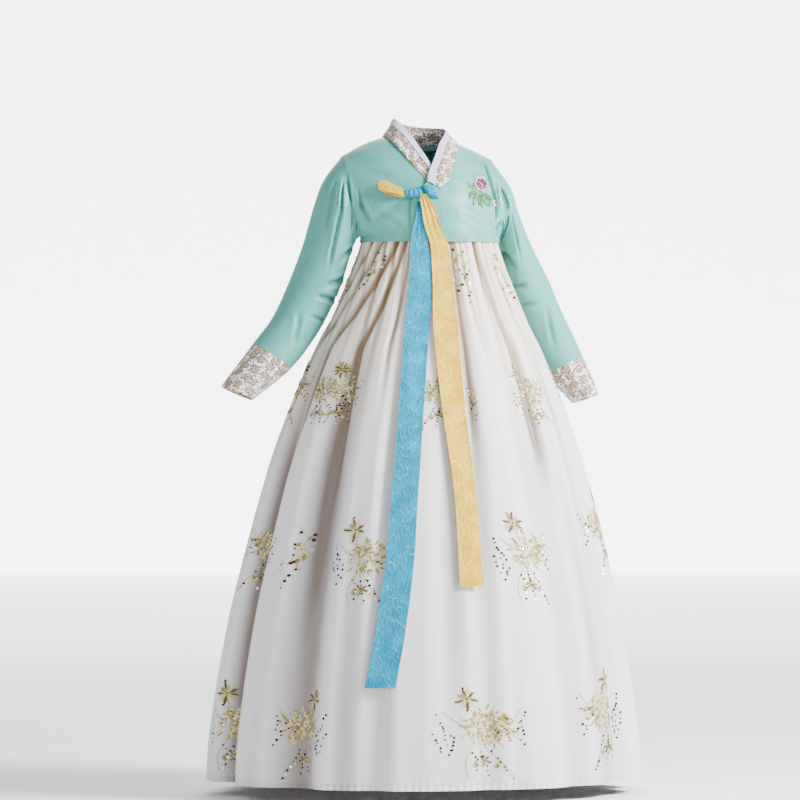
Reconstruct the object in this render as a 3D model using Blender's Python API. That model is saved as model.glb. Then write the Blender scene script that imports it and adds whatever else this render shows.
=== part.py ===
"""A worn hanbok: a short jacket with a crossed collar, cuffs and ribbon ties, over a pleated
wrap skirt.

Every piece of cloth is a thin wall round a hollow, in the shape that it hangs in when worn.
Its front faces -Y, so the wearer's right hand is at -X. The tables below give heights over
the floor. The origin is on the shoulders, SHOULDER_HEIGHT over the floor.
"""

import bmesh
import bpy
import numpy as np

SHOULDER_HEIGHT = 1.426
CLOTH = 0.0015
COLLAR_CLOTH = 0.0012
TRIM_CLOTH = 0.0010
SEAM_GAP = 0.0003
ARMHOLE_GAP = 0.0006
STEP = 1e-4

MINT = (0.27, 0.56, 0.51)
BROCADE = (0.80, 0.76, 0.72)
WHITE = (0.72, 0.70, 0.84)
BLUE = (0.05, 0.44, 0.70)
YELLOW = (0.90, 0.62, 0.23)
IVORY = (0.80, 0.78, 0.76)


def table(columns, *rows):
    """Rows of numbers as one array for each named column."""
    return dict(zip(columns.split(), np.array(rows, float).T))


def between(rows, key, at, column):
    """The smooth curve through a column's values, read at a value of the key column."""
    x, y = rows[key], rows[column]
    at = np.clip(at, x[0], x[-1])
    i = np.clip(np.searchsorted(x, at, side="right") - 1, 0, len(x) - 2)
    slope = np.gradient(y, x)
    step = x[i + 1] - x[i]
    t = (at - x[i]) / step
    ends = y[i] * (1 + 2 * t) * (1 - t) ** 2 + y[i + 1] * t * t * (3 - 2 * t)
    return ends + step * t * (1 - t) * (slope[i] * (1 - t) - slope[i + 1] * t)


def smooth(x):
    """0 below 0, 1 above 1, and an even rise between them."""
    x = np.clip(x, 0, 1)
    return x * x * (3 - 2 * x)


def bump(x):
    """A soft round rise, 1 high at 0 and gone at -1 and 1."""
    return np.where(np.abs(x) < 1, np.cos(np.pi / 2 * np.clip(x, -1, 1)) ** 2, 0.0)


def points(x, y, z):
    return np.stack(np.broadcast_arrays(x, y, z), axis=-1).astype(float)


def unit(vectors):
    length = np.linalg.norm(vectors, axis=-1, keepdims=True)
    return vectors / np.maximum(length, 1e-12)


def tangents(surface, u, v, du, dv):
    """Unit directions along u and v on a surface, and the normal that they span."""
    along_u = surface(u + du, v) - surface(u - du, v)
    along_v = surface(u, v + dv) - surface(u, v - dv)
    return unit(along_u), unit(along_v), unit(np.cross(along_u, along_v))


# Skirt: the outline's rings, the folds that open from its waist, and its pleats.

SKIRT_RING = table(
    "height half_width half_depth centre_y",
    (0.030, 0.4780, 0.394, 0.000),
    (0.090, 0.4755, 0.392, 0.000),
    (0.199, 0.4625, 0.380, -0.002),
    (0.308, 0.4450, 0.364, -0.004),
    (0.417, 0.4240, 0.346, -0.007),
    (0.526, 0.3970, 0.323, -0.010),
    (0.635, 0.3685, 0.298, -0.014),
    (0.745, 0.3370, 0.270, -0.018),
    (0.843, 0.3015, 0.238, -0.022),
    (0.908, 0.2755, 0.215, -0.025),
    (0.974, 0.2460, 0.190, -0.028),
    (1.037, 0.2135, 0.165, -0.030),
    (1.105, 0.1840, 0.142, -0.032),
    (1.150, 0.1660, 0.128, -0.033),
    (1.196, 0.1515, 0.1145, -0.035),
    (1.250, 0.1400, 0.102, -0.035),
)
SKIRT_X = 0.013
SKIRT_HEM, SKIRT_TOP = 0.030, 1.250
FOLDS = table(
    "angle half_angle depth",
    (-160, 11, 0.036),
    (-136, 9, 0.028),
    (-109, 11, 0.038),
    (-79, 10, 0.034),
    (-49, 12, 0.044),
    (-24, 6, 0.016),
    (6, 6, 0.015),
    (33, 10, 0.019),
    (54, 8, 0.017),
    (80, 9, 0.028),
    (103, 10, 0.036),
    (128, 9, 0.027),
    (152, 11, 0.040),
    (176, 8, 0.022),
)
FOLD_TOP, FOLD_FULL = 1.16, 0.62
PLEAT_ANGLE = 10
PLEAT_DEPTH = 0.0050
PLEAT_TOP, PLEAT_END = 1.12, 0.74
WIDTHS = 5
WIDTH_ANGLE = 80
FIRST_SEAM = -181
OVERLAP_ANGLE = WIDTHS * WIDTH_ANGLE - 360
UNDER_DEPTH = 0.0042
SKIRT_ROWS = (0.030, 0.12, 0.26, 0.42, 0.58, 0.72, 0.84, 0.94, 1.02, 1.09, 1.145, 1.196, 1.250)
COLUMNS_PER_PLEAT = 3


def ring_at(height):
    return [between(SKIRT_RING, "height", height, c) for c in ("half_width", "half_depth", "centre_y")]


def fold_depth(angle, height):
    """How far the broad folds draw the cloth in, as wide open troughs between round ridges."""
    share = smooth((FOLD_TOP - height) / (FOLD_TOP - FOLD_FULL))
    depth = np.zeros(np.broadcast(angle, height).shape)
    for middle, half, deep in zip(FOLDS["angle"], FOLDS["half_angle"], FOLDS["depth"]):
        off = (angle - middle + 180) % 360 - 180
        depth = depth + deep * bump(off / half) * share
    return depth


def pleat_depth(angle, height):
    """How far the narrow waist pleats draw the cloth in."""
    turn = angle / PLEAT_ANGLE
    number = np.round(turn)
    uneven = 0.85 + 0.3 * np.sin(number * 2.4)
    share = smooth((height - PLEAT_END) / (PLEAT_TOP - PLEAT_END))
    return PLEAT_DEPTH * uneven * bump((turn - number) * COLUMNS_PER_PLEAT) * share


def skirt_point(angle, height):
    """The skirt's outer face. The first stretch of cloth passes under the last one."""
    half_width, half_depth, centre_y = ring_at(height)
    under = smooth((FIRST_SEAM + OVERLAP_ANGLE + 9 - angle) / 8) * UNDER_DEPTH
    radius = (half_width + half_depth) / 2
    size = 1 - (fold_depth(angle, height) * radius / 0.44 + pleat_depth(angle, height) + under) / radius
    a = np.radians(angle)
    return points(SKIRT_X + half_width * size * np.sin(a), centre_y - half_depth * size * np.cos(a), height)


def skirt_front(x, height):
    """Y of the skirt's ridges in front, without its troughs."""
    half_width, half_depth, centre_y = ring_at(height)
    return centre_y - half_depth * np.sqrt(1 - ((x - SKIRT_X) / half_width) ** 2)


# Jacket body: one sheet that runs up the front, over the shoulder and down the back.

HEM_HEIGHT = 1.196
ARMHOLE = {
    -1: ((-0.170, 0.008, 1.386), (-0.176, -0.075, 1.298), (-0.1411, -0.035, 1.210), (-0.176, 0.062, 1.298)),
    1: ((0.158, 0.008, 1.383), (0.159, -0.073, 1.296), (0.1671, -0.035, 1.210), (0.170, 0.062, 1.296)),
}
BODY = table(
    "row turn drop centre_x centre_y centre_h sharp tilt",
    (0, 180, 0.014, 0.013, -0.1519, 1.196, 2.0, 0.00),
    (1, 180, 0.000, 0.013, -0.1515, 1.211, 2.0, 0.00),
    (2, 150, 0.000, 0.013, -0.1490, 1.236, 1.5, 0.00),
    (3, 120, 0.000, 0.012, -0.1420, 1.270, 1.2, 0.00),
    (4, 95, 0.000, 0.010, -0.1290, 1.308, 1.0, 0.00),
    (5, 70, 0.000, 0.007, -0.1070, 1.350, 1.0, 0.03),
    (6, 45, 0.000, 0.004, -0.0780, 1.388, 1.0, 0.06),
    (7, 20, 0.000, 0.001, -0.0400, 1.418, 1.0, 0.08),
    (8, 0, 0.000, 0.000, 0.0000, 1.4315, 1.0, 0.08),
    (9, -20, 0.000, 0.001, 0.0660, 1.405, 1.0, 0.08),
    (10, -45, 0.000, 0.004, 0.0800, 1.375, 1.0, 0.06),
    (11, -70, 0.000, 0.007, 0.0880, 1.340, 1.0, 0.03),
    (12, -95, 0.000, 0.010, 0.0900, 1.303, 1.0, 0.00),
    (13, -120, 0.000, 0.012, 0.0880, 1.268, 1.2, 0.00),
    (14, -150, 0.000, 0.013, 0.0850, 1.236, 1.5, 0.00),
    (15, -180, 0.000, 0.013, 0.0825, 1.211, 2.0, 0.00),
    (16, -180, 0.014, 0.013, 0.0819, 1.196, 2.0, 0.00),
)
RIDGE_ROW, BACK_NECK_ROW, LAST_ROW = 8, 9, 16
NECK_HALF = 0.078
SIDE_SEAM_HALF = 0.0002
RIGHT_EDGE = table(
    "height x",
    (1.196, 0.0350),
    (1.300, 0.0240),
    (1.327, -0.0010),
    (1.348, -0.0206),
    (1.369, -0.0395),
    (1.391, -0.0515),
    (1.411, -0.0655),
    (1.4255, -0.0780),
)
LEFT_EDGE = table(
    "height x",
    (1.196, 0.0100),
    (1.300, 0.0100),
    (1.322, 0.0140),
    (1.338, 0.0270),
    (1.353, 0.0360),
    (1.368, 0.0480),
    (1.384, 0.0575),
    (1.402, 0.0680),
    (1.4158, 0.0780),
)
GORE_EDGE = table(
    "height x",
    (1.196, -0.0550),
    (1.279, -0.0503),
    (1.305, -0.0340),
    (1.320, -0.0160),
    (1.330, -0.0060),
)
GORE_SEAM_X = 0.0098
GORE_TOP_ROW = 4.4
LIFT_AT_HEM, LIFT_AT_COLLAR = 0.0026, 0.0056
BODY_ROWS = (0, 1, 1.5, 2, 3, 4, 5, 6, 7, 7.5, 8, 8.3, 8.6, 8.85, 9, 10, 11, 12, 13, 14, 14.5, 15, 16)
BODY_COLUMNS = 9


def ring_point(cardinals, turn):
    """A closed ring through four points: the top, the front, the bottom and the back."""
    top, front, bottom, back = (np.asarray(p) for p in cardinals)
    a = np.radians(turn)[..., None]
    even = (top + bottom + front + back) / 4
    double = (top + bottom - front - back) / 4
    return even + (top - bottom) / 2 * np.cos(a) + double * np.cos(2 * a) + (front - back) / 2 * np.sin(a)


def body_edge(side, row):
    """The outer edge of the jacket's front and back: the armhole, and the side seam under it."""
    edge = ring_point(ARMHOLE[side], between(BODY, "row", row, "turn"))
    edge[..., 2] -= np.interp(row, BODY["row"], BODY["drop"])
    edge[..., 1] += SIDE_SEAM_HALF * np.where(row < RIDGE_ROW, -1, 1)
    return edge


def body_point(x, row):
    """The jacket's outer face at a distance x from the middle."""
    x, row = np.broadcast_arrays(np.asarray(x, float), np.asarray(row, float))
    row = np.clip(row, 0, LAST_ROW)
    cx, cy, ch, sharp, tilt = (
        between(BODY, "row", row, c) for c in ("centre_x", "centre_y", "centre_h", "sharp", "tilt")
    )
    edge = np.where((x > cx)[..., None], body_edge(1, row), body_edge(-1, row))
    s = np.clip((x - cx) / (edge[..., 0] - cx), 0, 1)
    inner = np.clip(1 - s * s, 0, 1)
    y = edge[..., 1] + (cy - edge[..., 1]) * inner ** (1 / sharp)
    height = ch + (edge[..., 2] - ch) * s * s - tilt * x * inner
    return points(x, y, height)


def front_row(x, height):
    """The row of the sheet at which the front reaches a height."""
    low = np.zeros(np.broadcast(x, height).shape)
    high = low + RIDGE_ROW
    for _ in range(26):
        row = (low + high) / 2
        below = body_point(x, row)[..., 2] < height
        low, high = np.where(below, row, low), np.where(below, high, row)
    return (low + high) / 2


def lift(x, row):
    """How far the wearer's left front stands off the right front, which it crosses."""
    height = body_point(x, row)[..., 2]
    most = LIFT_AT_HEM + (LIFT_AT_COLLAR - LIFT_AT_HEM) * smooth((height - 1.23) / 0.06)
    return most * smooth((0.105 - x) / 0.06) * smooth((RIDGE_ROW - row) / 2)


def raised(x, row, out):
    """A point moved out from the jacket's face."""
    normal = tangents(body_point, x, row, STEP, 1e-3)[2]
    return body_point(x, row) + normal * np.asarray(out)[..., None]


def on_front(x, height, out):
    """A point moved out from the front that lies on top."""
    row = front_row(x, height)
    return raised(x, row, out + lift(x, row))


def edge_x(edge, row, start):
    """Where a front's inner edge, given as x over height, crosses a row of the sheet."""
    x = np.full(np.shape(row), float(start))
    for _ in range(14):
        x = np.interp(body_point(x, row)[..., 2], edge["height"], edge["x"])
    return x


def jacket_half(side):
    """The surface of one half of the jacket, from its front hem up and over to the back hem."""
    edge = RIGHT_EDGE if side < 0 else LEFT_EDGE

    def inner_x(row):
        front = edge_x(edge, np.minimum(row, RIDGE_ROW), side * NECK_HALF)
        turn = np.clip(row - RIDGE_ROW, 0, BACK_NECK_ROW - RIDGE_ROW)
        nape = side * NECK_HALF * np.sqrt(1 - turn**2)
        return np.where(row < RIDGE_ROW, front, nape)

    def surface(u, row):
        row = np.clip(row, 0, LAST_ROW)
        start, end = inner_x(row), body_edge(side, row)[..., 0]
        x = start + (end - start) * np.sin(np.pi / 2 * np.clip(u, 0, 1))
        out = lift(x, row) if side > 0 else np.zeros(x.shape)
        return raised(x, row, out)

    return surface


def gore(u, row):
    """The narrow gore that widens the left front past the middle."""
    start = edge_x(GORE_EDGE, row, -0.03)
    x = start + (GORE_SEAM_X - start) * np.clip(u, 0, 1)
    return raised(x, row, lift(x, row))


# Sleeves and cuffs: rings from the armhole to the cuff's open end.

SLEEVE = {
    -1: table(
        "station outer_x outer_h inner_x inner_h centre_y half_depth",
        (1, -0.2152, 1.3340, -0.1490, 1.1990, -0.012, 0.071),
        (2, -0.2359, 1.2795, -0.1580, 1.1725, -0.012, 0.068),
        (3, -0.2642, 1.1856, -0.1800, 1.1020, -0.008, 0.061),
        (4, -0.3000, 1.0939, -0.2060, 1.0440, -0.008, 0.055),
        (5, -0.3359, 1.0284, -0.2400, 0.9900, -0.018, 0.051),
        (6, -0.3795, 0.9738, -0.2955, 0.9214, -0.032, 0.048),
        (7, -0.4510, 0.8843, -0.3836, 0.8537, -0.050, 0.045),
    ),
    1: table(
        "station outer_x outer_h inner_x inner_h centre_y half_depth",
        (1, 0.1960, 1.3275, 0.1740, 1.1990, 0.000, 0.070),
        (2, 0.2150, 1.2795, 0.1820, 1.1725, 0.008, 0.067),
        (3, 0.2546, 1.1921, 0.1960, 1.1060, 0.022, 0.060),
        (4, 0.3006, 1.1114, 0.2180, 1.0500, 0.038, 0.055),
        (5, 0.3366, 1.0393, 0.2470, 0.9900, 0.050, 0.051),
        (6, 0.3793, 0.9585, 0.2980, 0.9120, 0.060, 0.047),
        (7, 0.4231, 0.8690, 0.3648, 0.8472, 0.075, 0.043),
    ),
}
CUFF_STATION, CUFF_END = 6, 7
SLEEVE_STATIONS = (0, 0.4, 1, 1.6, 2.3, 3, 3.7, 4.4, 5.2, 6)
CUFF_STATIONS = (6, 6.5, 7)


def sleeve_cardinals(side):
    """The top, front, bottom and back of every ring of a sleeve, from the armhole on."""
    rows = SLEEVE[side]
    middle_x = (rows["outer_x"] + rows["inner_x"]) / 2
    middle_h = (rows["outer_h"] + rows["inner_h"]) / 2
    rings = [
        points(rows["outer_x"], rows["centre_y"], rows["outer_h"]),
        points(middle_x, rows["centre_y"] - rows["half_depth"], middle_h),
        points(rows["inner_x"], rows["centre_y"], rows["inner_h"]),
        points(middle_x, rows["centre_y"] + rows["half_depth"], middle_h),
    ]
    first = np.array(ARMHOLE[side]) + (side * ARMHOLE_GAP, 0, 0)
    return np.concatenate([first[:, None], np.array(rings)], axis=1)


def spline(knots, at):
    """The smooth curve through evenly numbered points."""
    last = len(knots) - 1
    at = np.clip(at, 0, last)
    i = np.clip(np.floor(at).astype(int), 0, last - 1)
    slope = np.gradient(knots, axis=0)
    t = (at - i)[..., None]
    ends = knots[i] * (1 + 2 * t) * (1 - t) ** 2 + knots[i + 1] * t * t * (3 - 2 * t)
    return ends + t * (1 - t) * (slope[i] * (1 - t) - slope[i + 1] * t)


def sleeve(side):
    cardinals = sleeve_cardinals(side)

    def surface(turn, station):
        turn, station = np.broadcast_arrays(turn, station)
        return ring_point([spline(line, station) for line in cardinals], turn)

    return surface


# Collar: one band from the right front's end, round the nape, to the left front's end.

COLLAR = table(
    "station seam_x seam_h seam_row seam_out top_x top_y top_h on_body",
    (0, 0.0120, 1.3050, 0, 0.0000, 0.0180, 0, 1.3350, 1.0),
    (1, -0.0093, 1.3269, 0, 0.0000, 0.0009, 0, 1.3610, 1.0),
    (2, -0.0276, 1.3476, 0, 0.0000, -0.0111, 0, 1.3865, 1.0),
    (3, -0.0446, 1.3700, 0, 0.0010, -0.0235, -0.058, 1.4110, 0.0),
    (4, -0.0580, 1.3910, 0, 0.0020, -0.0355, -0.039, 1.4330, 0.0),
    (5, -0.0705, 1.4110, 0, 0.0028, -0.0461, -0.020, 1.4510, 0.0),
    (6, -0.0805, 0, 8.0, 0.0028, -0.0570, 0.000, 1.4660, 0.0),
    (7, -0.0660, 0, 8.6, 0.0028, -0.0420, 0.036, 1.4600, 0.0),
    (8, 0.0000, 0, 9.1, 0.0028, 0.0000, 0.052, 1.4510, 0.0),
    (9, 0.0660, 0, 8.6, 0.0028, 0.0430, 0.040, 1.4480, 0.0),
    (10, 0.0805, 0, 8.0, 0.0028, 0.0580, 0.010, 1.4420, 0.0),
    (11, 0.0733, 1.4017, 0, 0.0028, 0.0469, -0.022, 1.4258, 0.0),
    (12, 0.0642, 1.3843, 0, 0.0020, 0.0328, -0.048, 1.4094, 0.2),
    (13, 0.0554, 1.3679, 0, 0.0000, 0.0192, 0, 1.3890, 1.0),
    (14, 0.0450, 1.3526, 0, 0.0000, 0.0062, 0, 1.3660, 1.0),
    (15, 0.0380, 1.3384, 0, 0.0000, -0.0045, 0, 1.3455, 1.0),
    (16, 0.0340, 1.3225, 0, 0.0000, -0.0121, 0, 1.3222, 1.0),
)
TRIM_START, TRIM_END = 0.70, 1.03
COLLAR_GAP, TRIM_GAP = 0.0005, 0.0006
COLLAR_POINT = 0.0105
COLLAR_COLUMNS = (0, 0.32, TRIM_START, 0.82, 1)
TRIM_COLUMNS = (TRIM_START, 0.82, 1, TRIM_END)


def collar_lines():
    """The collar's seam and its free top edge, as points for each station."""
    seam, top = [], []
    for i in range(len(COLLAR["station"])):
        row = {column: values[i] for column, values in COLLAR.items()}
        seam_row = row["seam_row"] or front_row(row["seam_x"], row["seam_h"])
        seam.append(raised(row["seam_x"], seam_row, row["seam_out"]))
        free = np.array([row["top_x"], row["top_y"], row["top_h"]])
        if row["on_body"] == 1:
            free = body_point(row["top_x"], front_row(row["top_x"], row["top_h"]))
        top.append(free)
    return np.array(seam), np.array(top)


def collar_surface(extra):
    """The collar band, moved out from the body; across it runs from 0 at the seam to 1."""
    seam, top = collar_lines()

    def band(across, station):
        across, station = np.broadcast_arrays(across, station)
        t = across[..., None]
        flat = spline(seam, station) * (1 - t) + spline(top, station) * t
        tip = smooth(station - 15) * COLLAR_POINT * bump(across * 2 - 1)
        flat[..., 2] -= tip
        row = front_row(flat[..., 0], flat[..., 2])
        share = between(COLLAR, "station", station, "on_body")
        flat[..., 1] += (body_point(flat[..., 0], row)[..., 1] - flat[..., 1]) * share
        return flat

    def surface(across, station):
        across, station = np.broadcast_arrays(across, np.clip(station, 0, len(seam) - 1))
        base = band(across, station)
        normal = tangents(band, across, station, 1e-3, 1e-3)[2]
        on_left = np.where(station > 9, lift(base[..., 0], front_row(base[..., 0], base[..., 2])), 0)
        return base + normal * (on_left + extra)[..., None]

    return surface


# Ties: two ribbon ends that hang from a knot with one loop drawn out to the side.

BLUE_TAIL = table(
    "height left right out",
    (0.246, -0.1995, -0.1386, 0.0030),
    (0.326, -0.1810, -0.1214, 0.0030),
    (0.431, -0.1629, -0.1029, 0.0030),
    (0.515, -0.1469, -0.0903, 0.0030),
    (0.642, -0.1312, -0.0767, 0.0030),
    (0.854, -0.1032, -0.0506, 0.0030),
    (1.004, -0.0799, -0.0293, 0.0030),
    (1.134, -0.0607, -0.0133, 0.0028),
    (1.190, -0.0556, -0.0191, 0.0026),
    (1.218, -0.0520, -0.0230, 0.0026),
    (1.252, -0.0437, -0.0220, 0.0026),
    (1.282, -0.0395, -0.0240, 0.0026),
)
YELLOW_TAIL = table(
    "height left right out",
    (0.4585, 0.0044, 0.0565, 0.0050),
    (0.642, 0.0019, 0.0487, 0.0050),
    (0.854, -0.0155, 0.0360, 0.0050),
    (1.004, -0.0193, 0.0335, 0.0050),
    (1.134, -0.0130, 0.0285, 0.0050),
    (1.190, -0.0145, 0.0225, 0.0050),
    (1.231, -0.0264, 0.0067, 0.0052),
    (1.263, -0.0314, -0.0020, 0.0070),
    (1.283, -0.0340, -0.0130, 0.0115),
    (1.298, -0.0335, -0.0240, 0.0128),
)
TAIL_COLUMNS = 4
TAIL_ROW_LENGTH = 0.055
TAIL_BEND = 1.16
KNOT_CORNERS = ((-0.0175, 1.2868), (0.0068, 1.2860), (-0.0265, 1.3145), (-0.0008, 1.3152))
WRAP_CORNERS = ((-0.0636, 1.2890), (-0.0186, 1.2850), (-0.0636, 1.3040), (-0.0262, 1.3085))
KNOT_THICK, WRAP_THICK = 0.0125, 0.0068
LOOP_RIGHT, LOOP_LEFT = -0.0641, -0.1155
LOOP_SPAN = table(
    "along low high",
    (0.0, 1.2885, 1.3035),
    (0.44, 1.2915, 1.3160),
    (0.77, 1.2985, 1.3235),
    (0.93, 1.3035, 1.3185),
    (1.0, 1.3060, 1.3090),
)
LOOP_OUT_BACK, LOOP_OUT_FRONT = 0.0020, 0.0072


def tail_surface(rows):
    """A ribbon that lies on the jacket, then falls over its hem and down the skirt's ridges."""

    def surface(u, height):
        u, height = np.broadcast_arrays(u, height)
        left = between(rows, "height", height, "left")
        right = between(rows, "height", height, "right")
        x = left + (right - left) * u
        out = between(rows, "height", height, "out")
        jacket = on_front(x, np.maximum(height, HEM_HEIGHT), out)
        skirt = skirt_front(x, np.minimum(height, SKIRT_TOP)) - out * 1.1
        apart = jacket[..., 1] - skirt
        over = (jacket[..., 1] + skirt - np.sqrt(apart**2 + 0.004**2)) / 2
        y = np.where(height < HEM_HEIGHT, over, np.minimum(jacket[..., 1], over))
        return points(x, y, height)

    return surface


def patch(corners, u, v):
    """A place in a four-sided patch of the chest, as x and height."""
    low_left, low_right, high_left, high_right = (np.array(c) for c in corners)
    low = low_left + (low_right - low_left) * u[..., None]
    high = high_left + (high_right - high_left) * u[..., None]
    return np.moveaxis(low + (high - low) * v[..., None], -1, 0)


def loop_surface(u, v):
    """A band folded back on itself: u runs from the back layer's root, round the left end."""
    u, v = np.broadcast_arrays(u, v)
    along = np.sin(np.pi / 2 * (1 - np.abs(2 * u - 1)))
    x = LOOP_RIGHT + (LOOP_LEFT - LOOP_RIGHT) * along
    low = between(LOOP_SPAN, "along", along, "low")
    high = between(LOOP_SPAN, "along", along, "high")
    out = LOOP_OUT_BACK + (LOOP_OUT_FRONT - LOOP_OUT_BACK) * smooth((u - 0.38) / 0.24)
    return on_front(x, low + (high - low) * v, out)


# Building: a closed body between an outer and an inner grid of points.


def clear_scene():
    for item in list(bpy.data.objects):
        bpy.data.objects.remove(item, do_unlink=True)


def cloth_material(name, colour, roughness):
    material = bpy.data.materials.new(name)
    material.use_nodes = True
    shader = material.node_tree.nodes["Principled BSDF"]
    shader.inputs["Base Color"].default_value = (*colour, 1)
    shader.inputs["Roughness"].default_value = roughness
    shader.inputs["Metallic"].default_value = 0
    return material


def make_body(name, outer, inner, closed, colour, roughness):
    """An object whose faces close the space between two grids, open or closed along u."""
    columns, rows = outer.shape[:2]
    count = columns * rows
    spans = columns if closed else columns - 1

    def quad(a, b, c, d):
        faces.append((a, b, c, d))

    faces = []
    for i in range(spans):
        j = (i + 1) % columns
        for k in range(rows - 1):
            a, b, c, d = i * rows + k, j * rows + k, j * rows + k + 1, i * rows + k + 1
            quad(a, b, c, d)
            quad(a + count, d + count, c + count, b + count)
        low, high = i * rows, i * rows + rows - 1
        next_low, next_high = j * rows, j * rows + rows - 1
        quad(low, low + count, next_low + count, next_low)
        quad(high, next_high, next_high + count, high + count)
    if not closed:
        for k in range(rows - 1):
            last = (columns - 1) * rows + k
            quad(k, k + 1, k + 1 + count, k + count)
            quad(last, last + count, last + 1 + count, last + 1)
    verts = np.concatenate([outer.reshape(-1, 3), inner.reshape(-1, 3)])
    verts[:, 2] -= SHOULDER_HEIGHT
    mesh = bpy.data.meshes.new(name)
    mesh.from_pydata(verts.tolist(), [], faces)
    work = bmesh.new()
    work.from_mesh(mesh)
    bmesh.ops.recalc_face_normals(work, faces=work.faces)
    if work.calc_volume(signed=True) < 0:
        bmesh.ops.reverse_faces(work, faces=work.faces)
    work.to_mesh(mesh)
    work.free()
    mesh.shade_smooth()
    mesh.set_sharp_from_angle(angle=np.radians(50))
    mesh.materials.append(cloth_material(name + "_cloth", colour, roughness))
    item = bpy.data.objects.new(name, mesh)
    bpy.context.collection.objects.link(item)
    return item


def make_wall(name, surface, us, vs, colour, wall=CLOTH, out=1, closed=False, trim=(0, 0, 0, 0),
              steps=(STEP, STEP), roughness=0.45, edge_inward=None):
    """A cloth wall inside a surface. Trim shortens it at its u and v ends; edge_inward turns
    the wall's cut face at the last u or first v, where it meets another piece at an angle."""
    u, v = np.meshgrid(np.array(us, float), np.array(vs, float), indexing="ij")
    outer = surface(u, v)
    along_u, along_v, normal = tangents(surface, u, v, *steps)
    inward = -normal * out
    if edge_inward:
        edge_inward(inward, outer)
    first_u, last_u, first_v, last_v = trim
    if not closed:
        outer[0] += along_u[0] * first_u
        outer[-1] -= along_u[-1] * last_u
    outer[:, 0] += along_v[:, 0] * first_v
    outer[:, -1] -= along_v[:, -1] * last_v
    return make_body(name, outer, outer + inward * wall, closed, colour, roughness)


def make_pad(name, corners, thick, colour, columns, rows):
    """A soft lump of gathered ribbon on the chest: thick in the middle and thin at its rim."""
    u, v = np.meshgrid(np.linspace(0, 1, columns), np.linspace(0, 1, rows), indexing="ij")
    x, height = patch(corners, u, v)
    crown = (1 - (2 * v - 1) ** 4) * (1 - 0.55 * (2 * u - 1) ** 4)
    low = 0.0006 + np.zeros(u.shape)
    back = on_front(x, height, low)
    face = on_front(x, height, low + 0.0018 + (thick - 0.0018) * crown)
    return make_body(name, face, back, False, colour, 0.35)


def build_skirt():
    columns = WIDTH_ANGLE // PLEAT_ANGLE * COLUMNS_PER_PLEAT
    for number in range(WIDTHS):
        start = FIRST_SEAM + number * WIDTH_ANGLE
        angles = np.linspace(start, start + WIDTH_ANGLE, columns + 1)
        make_wall(f"chima_width_{number + 1}", skirt_point, angles, SKIRT_ROWS, IVORY,
                  trim=(SEAM_GAP / 2, SEAM_GAP / 2, 0, 0), steps=(0.05, STEP))


def build_waistband():
    """The plain band above the pleats, hidden in the jacket."""

    def surface(angle, height):
        a = np.radians(angle)
        rise = (height - SKIRT_TOP) / 0.04
        half_width, half_depth = 0.1385 - 0.007 * rise, 0.1005 - 0.009 * rise
        return points(SKIRT_X + half_width * np.sin(a), -0.035 - half_depth * np.cos(a), height)

    make_wall("chima_waistband", surface, np.arange(0, 360, 9), (SKIRT_TOP + 0.0008, SKIRT_TOP + 0.04),
              IVORY, closed=True, steps=(0.05, STEP))


def toward_armhole_middle(side):
    """Turns a wall's cut face into the armhole's own plane."""
    middle = np.mean(np.array(ARMHOLE[side]), axis=0)
    return lambda edge: unit(middle - edge)


def build_jacket():
    for side, name in ((-1, "jeogori_right"), (1, "jeogori_left")):
        turned = toward_armhole_middle(side)

        def at_armhole(inward, outer, turned=turned):
            weight = np.clip(np.minimum(BODY_ROWS, LAST_ROW - np.array(BODY_ROWS)) - 0.5, 0, 1)[:, None]
            inward[-1] = unit(inward[-1] * (1 - weight) + turned(outer[-1]) * weight)

        make_wall(name, jacket_half(side), np.linspace(0, 1, BODY_COLUMNS + 1), BODY_ROWS, MINT, out=side,
                  trim=(SEAM_GAP / 2, 0, 0, 0), steps=(1e-3, 1e-3), edge_inward=at_armhole)
    rows = np.linspace(0, GORE_TOP_ROW, 7)
    make_wall("jeogori_gore_left", gore, np.linspace(0, 1, 4), rows, MINT, steps=(1e-3, 1e-3))


def build_sleeves():
    turns = between(BODY, "row", np.array(BODY_ROWS[1:-2]), "turn")
    for side, name in ((-1, "right"), (1, "left")):
        turned = toward_armhole_middle(side)

        def at_armhole(inward, outer, turned=turned):
            inward[:, 0] = turned(outer[:, 0])

        make_wall("sleeve_" + name, sleeve(side), turns, SLEEVE_STATIONS, MINT, out=side, closed=True,
                  trim=(0, 0, 0, SEAM_GAP / 2), steps=(0.5, 1e-3), edge_inward=at_armhole)
        make_wall("cuff_" + name, sleeve(side), turns, CUFF_STATIONS, BROCADE, out=side, closed=True,
                  trim=(0, 0, SEAM_GAP / 2, 0), steps=(0.5, 1e-3))


def build_collar():
    stations = np.linspace(0, 16, 41)
    make_wall("collar", collar_surface(COLLAR_GAP + COLLAR_CLOTH), COLLAR_COLUMNS, stations, BROCADE,
              wall=COLLAR_CLOTH, steps=(1e-3, 1e-3))
    over = COLLAR_GAP + COLLAR_CLOTH + TRIM_GAP + TRIM_CLOTH
    make_wall("dongjeong", collar_surface(over), TRIM_COLUMNS, stations, WHITE,
              wall=TRIM_CLOTH, steps=(1e-3, 1e-3))


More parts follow.
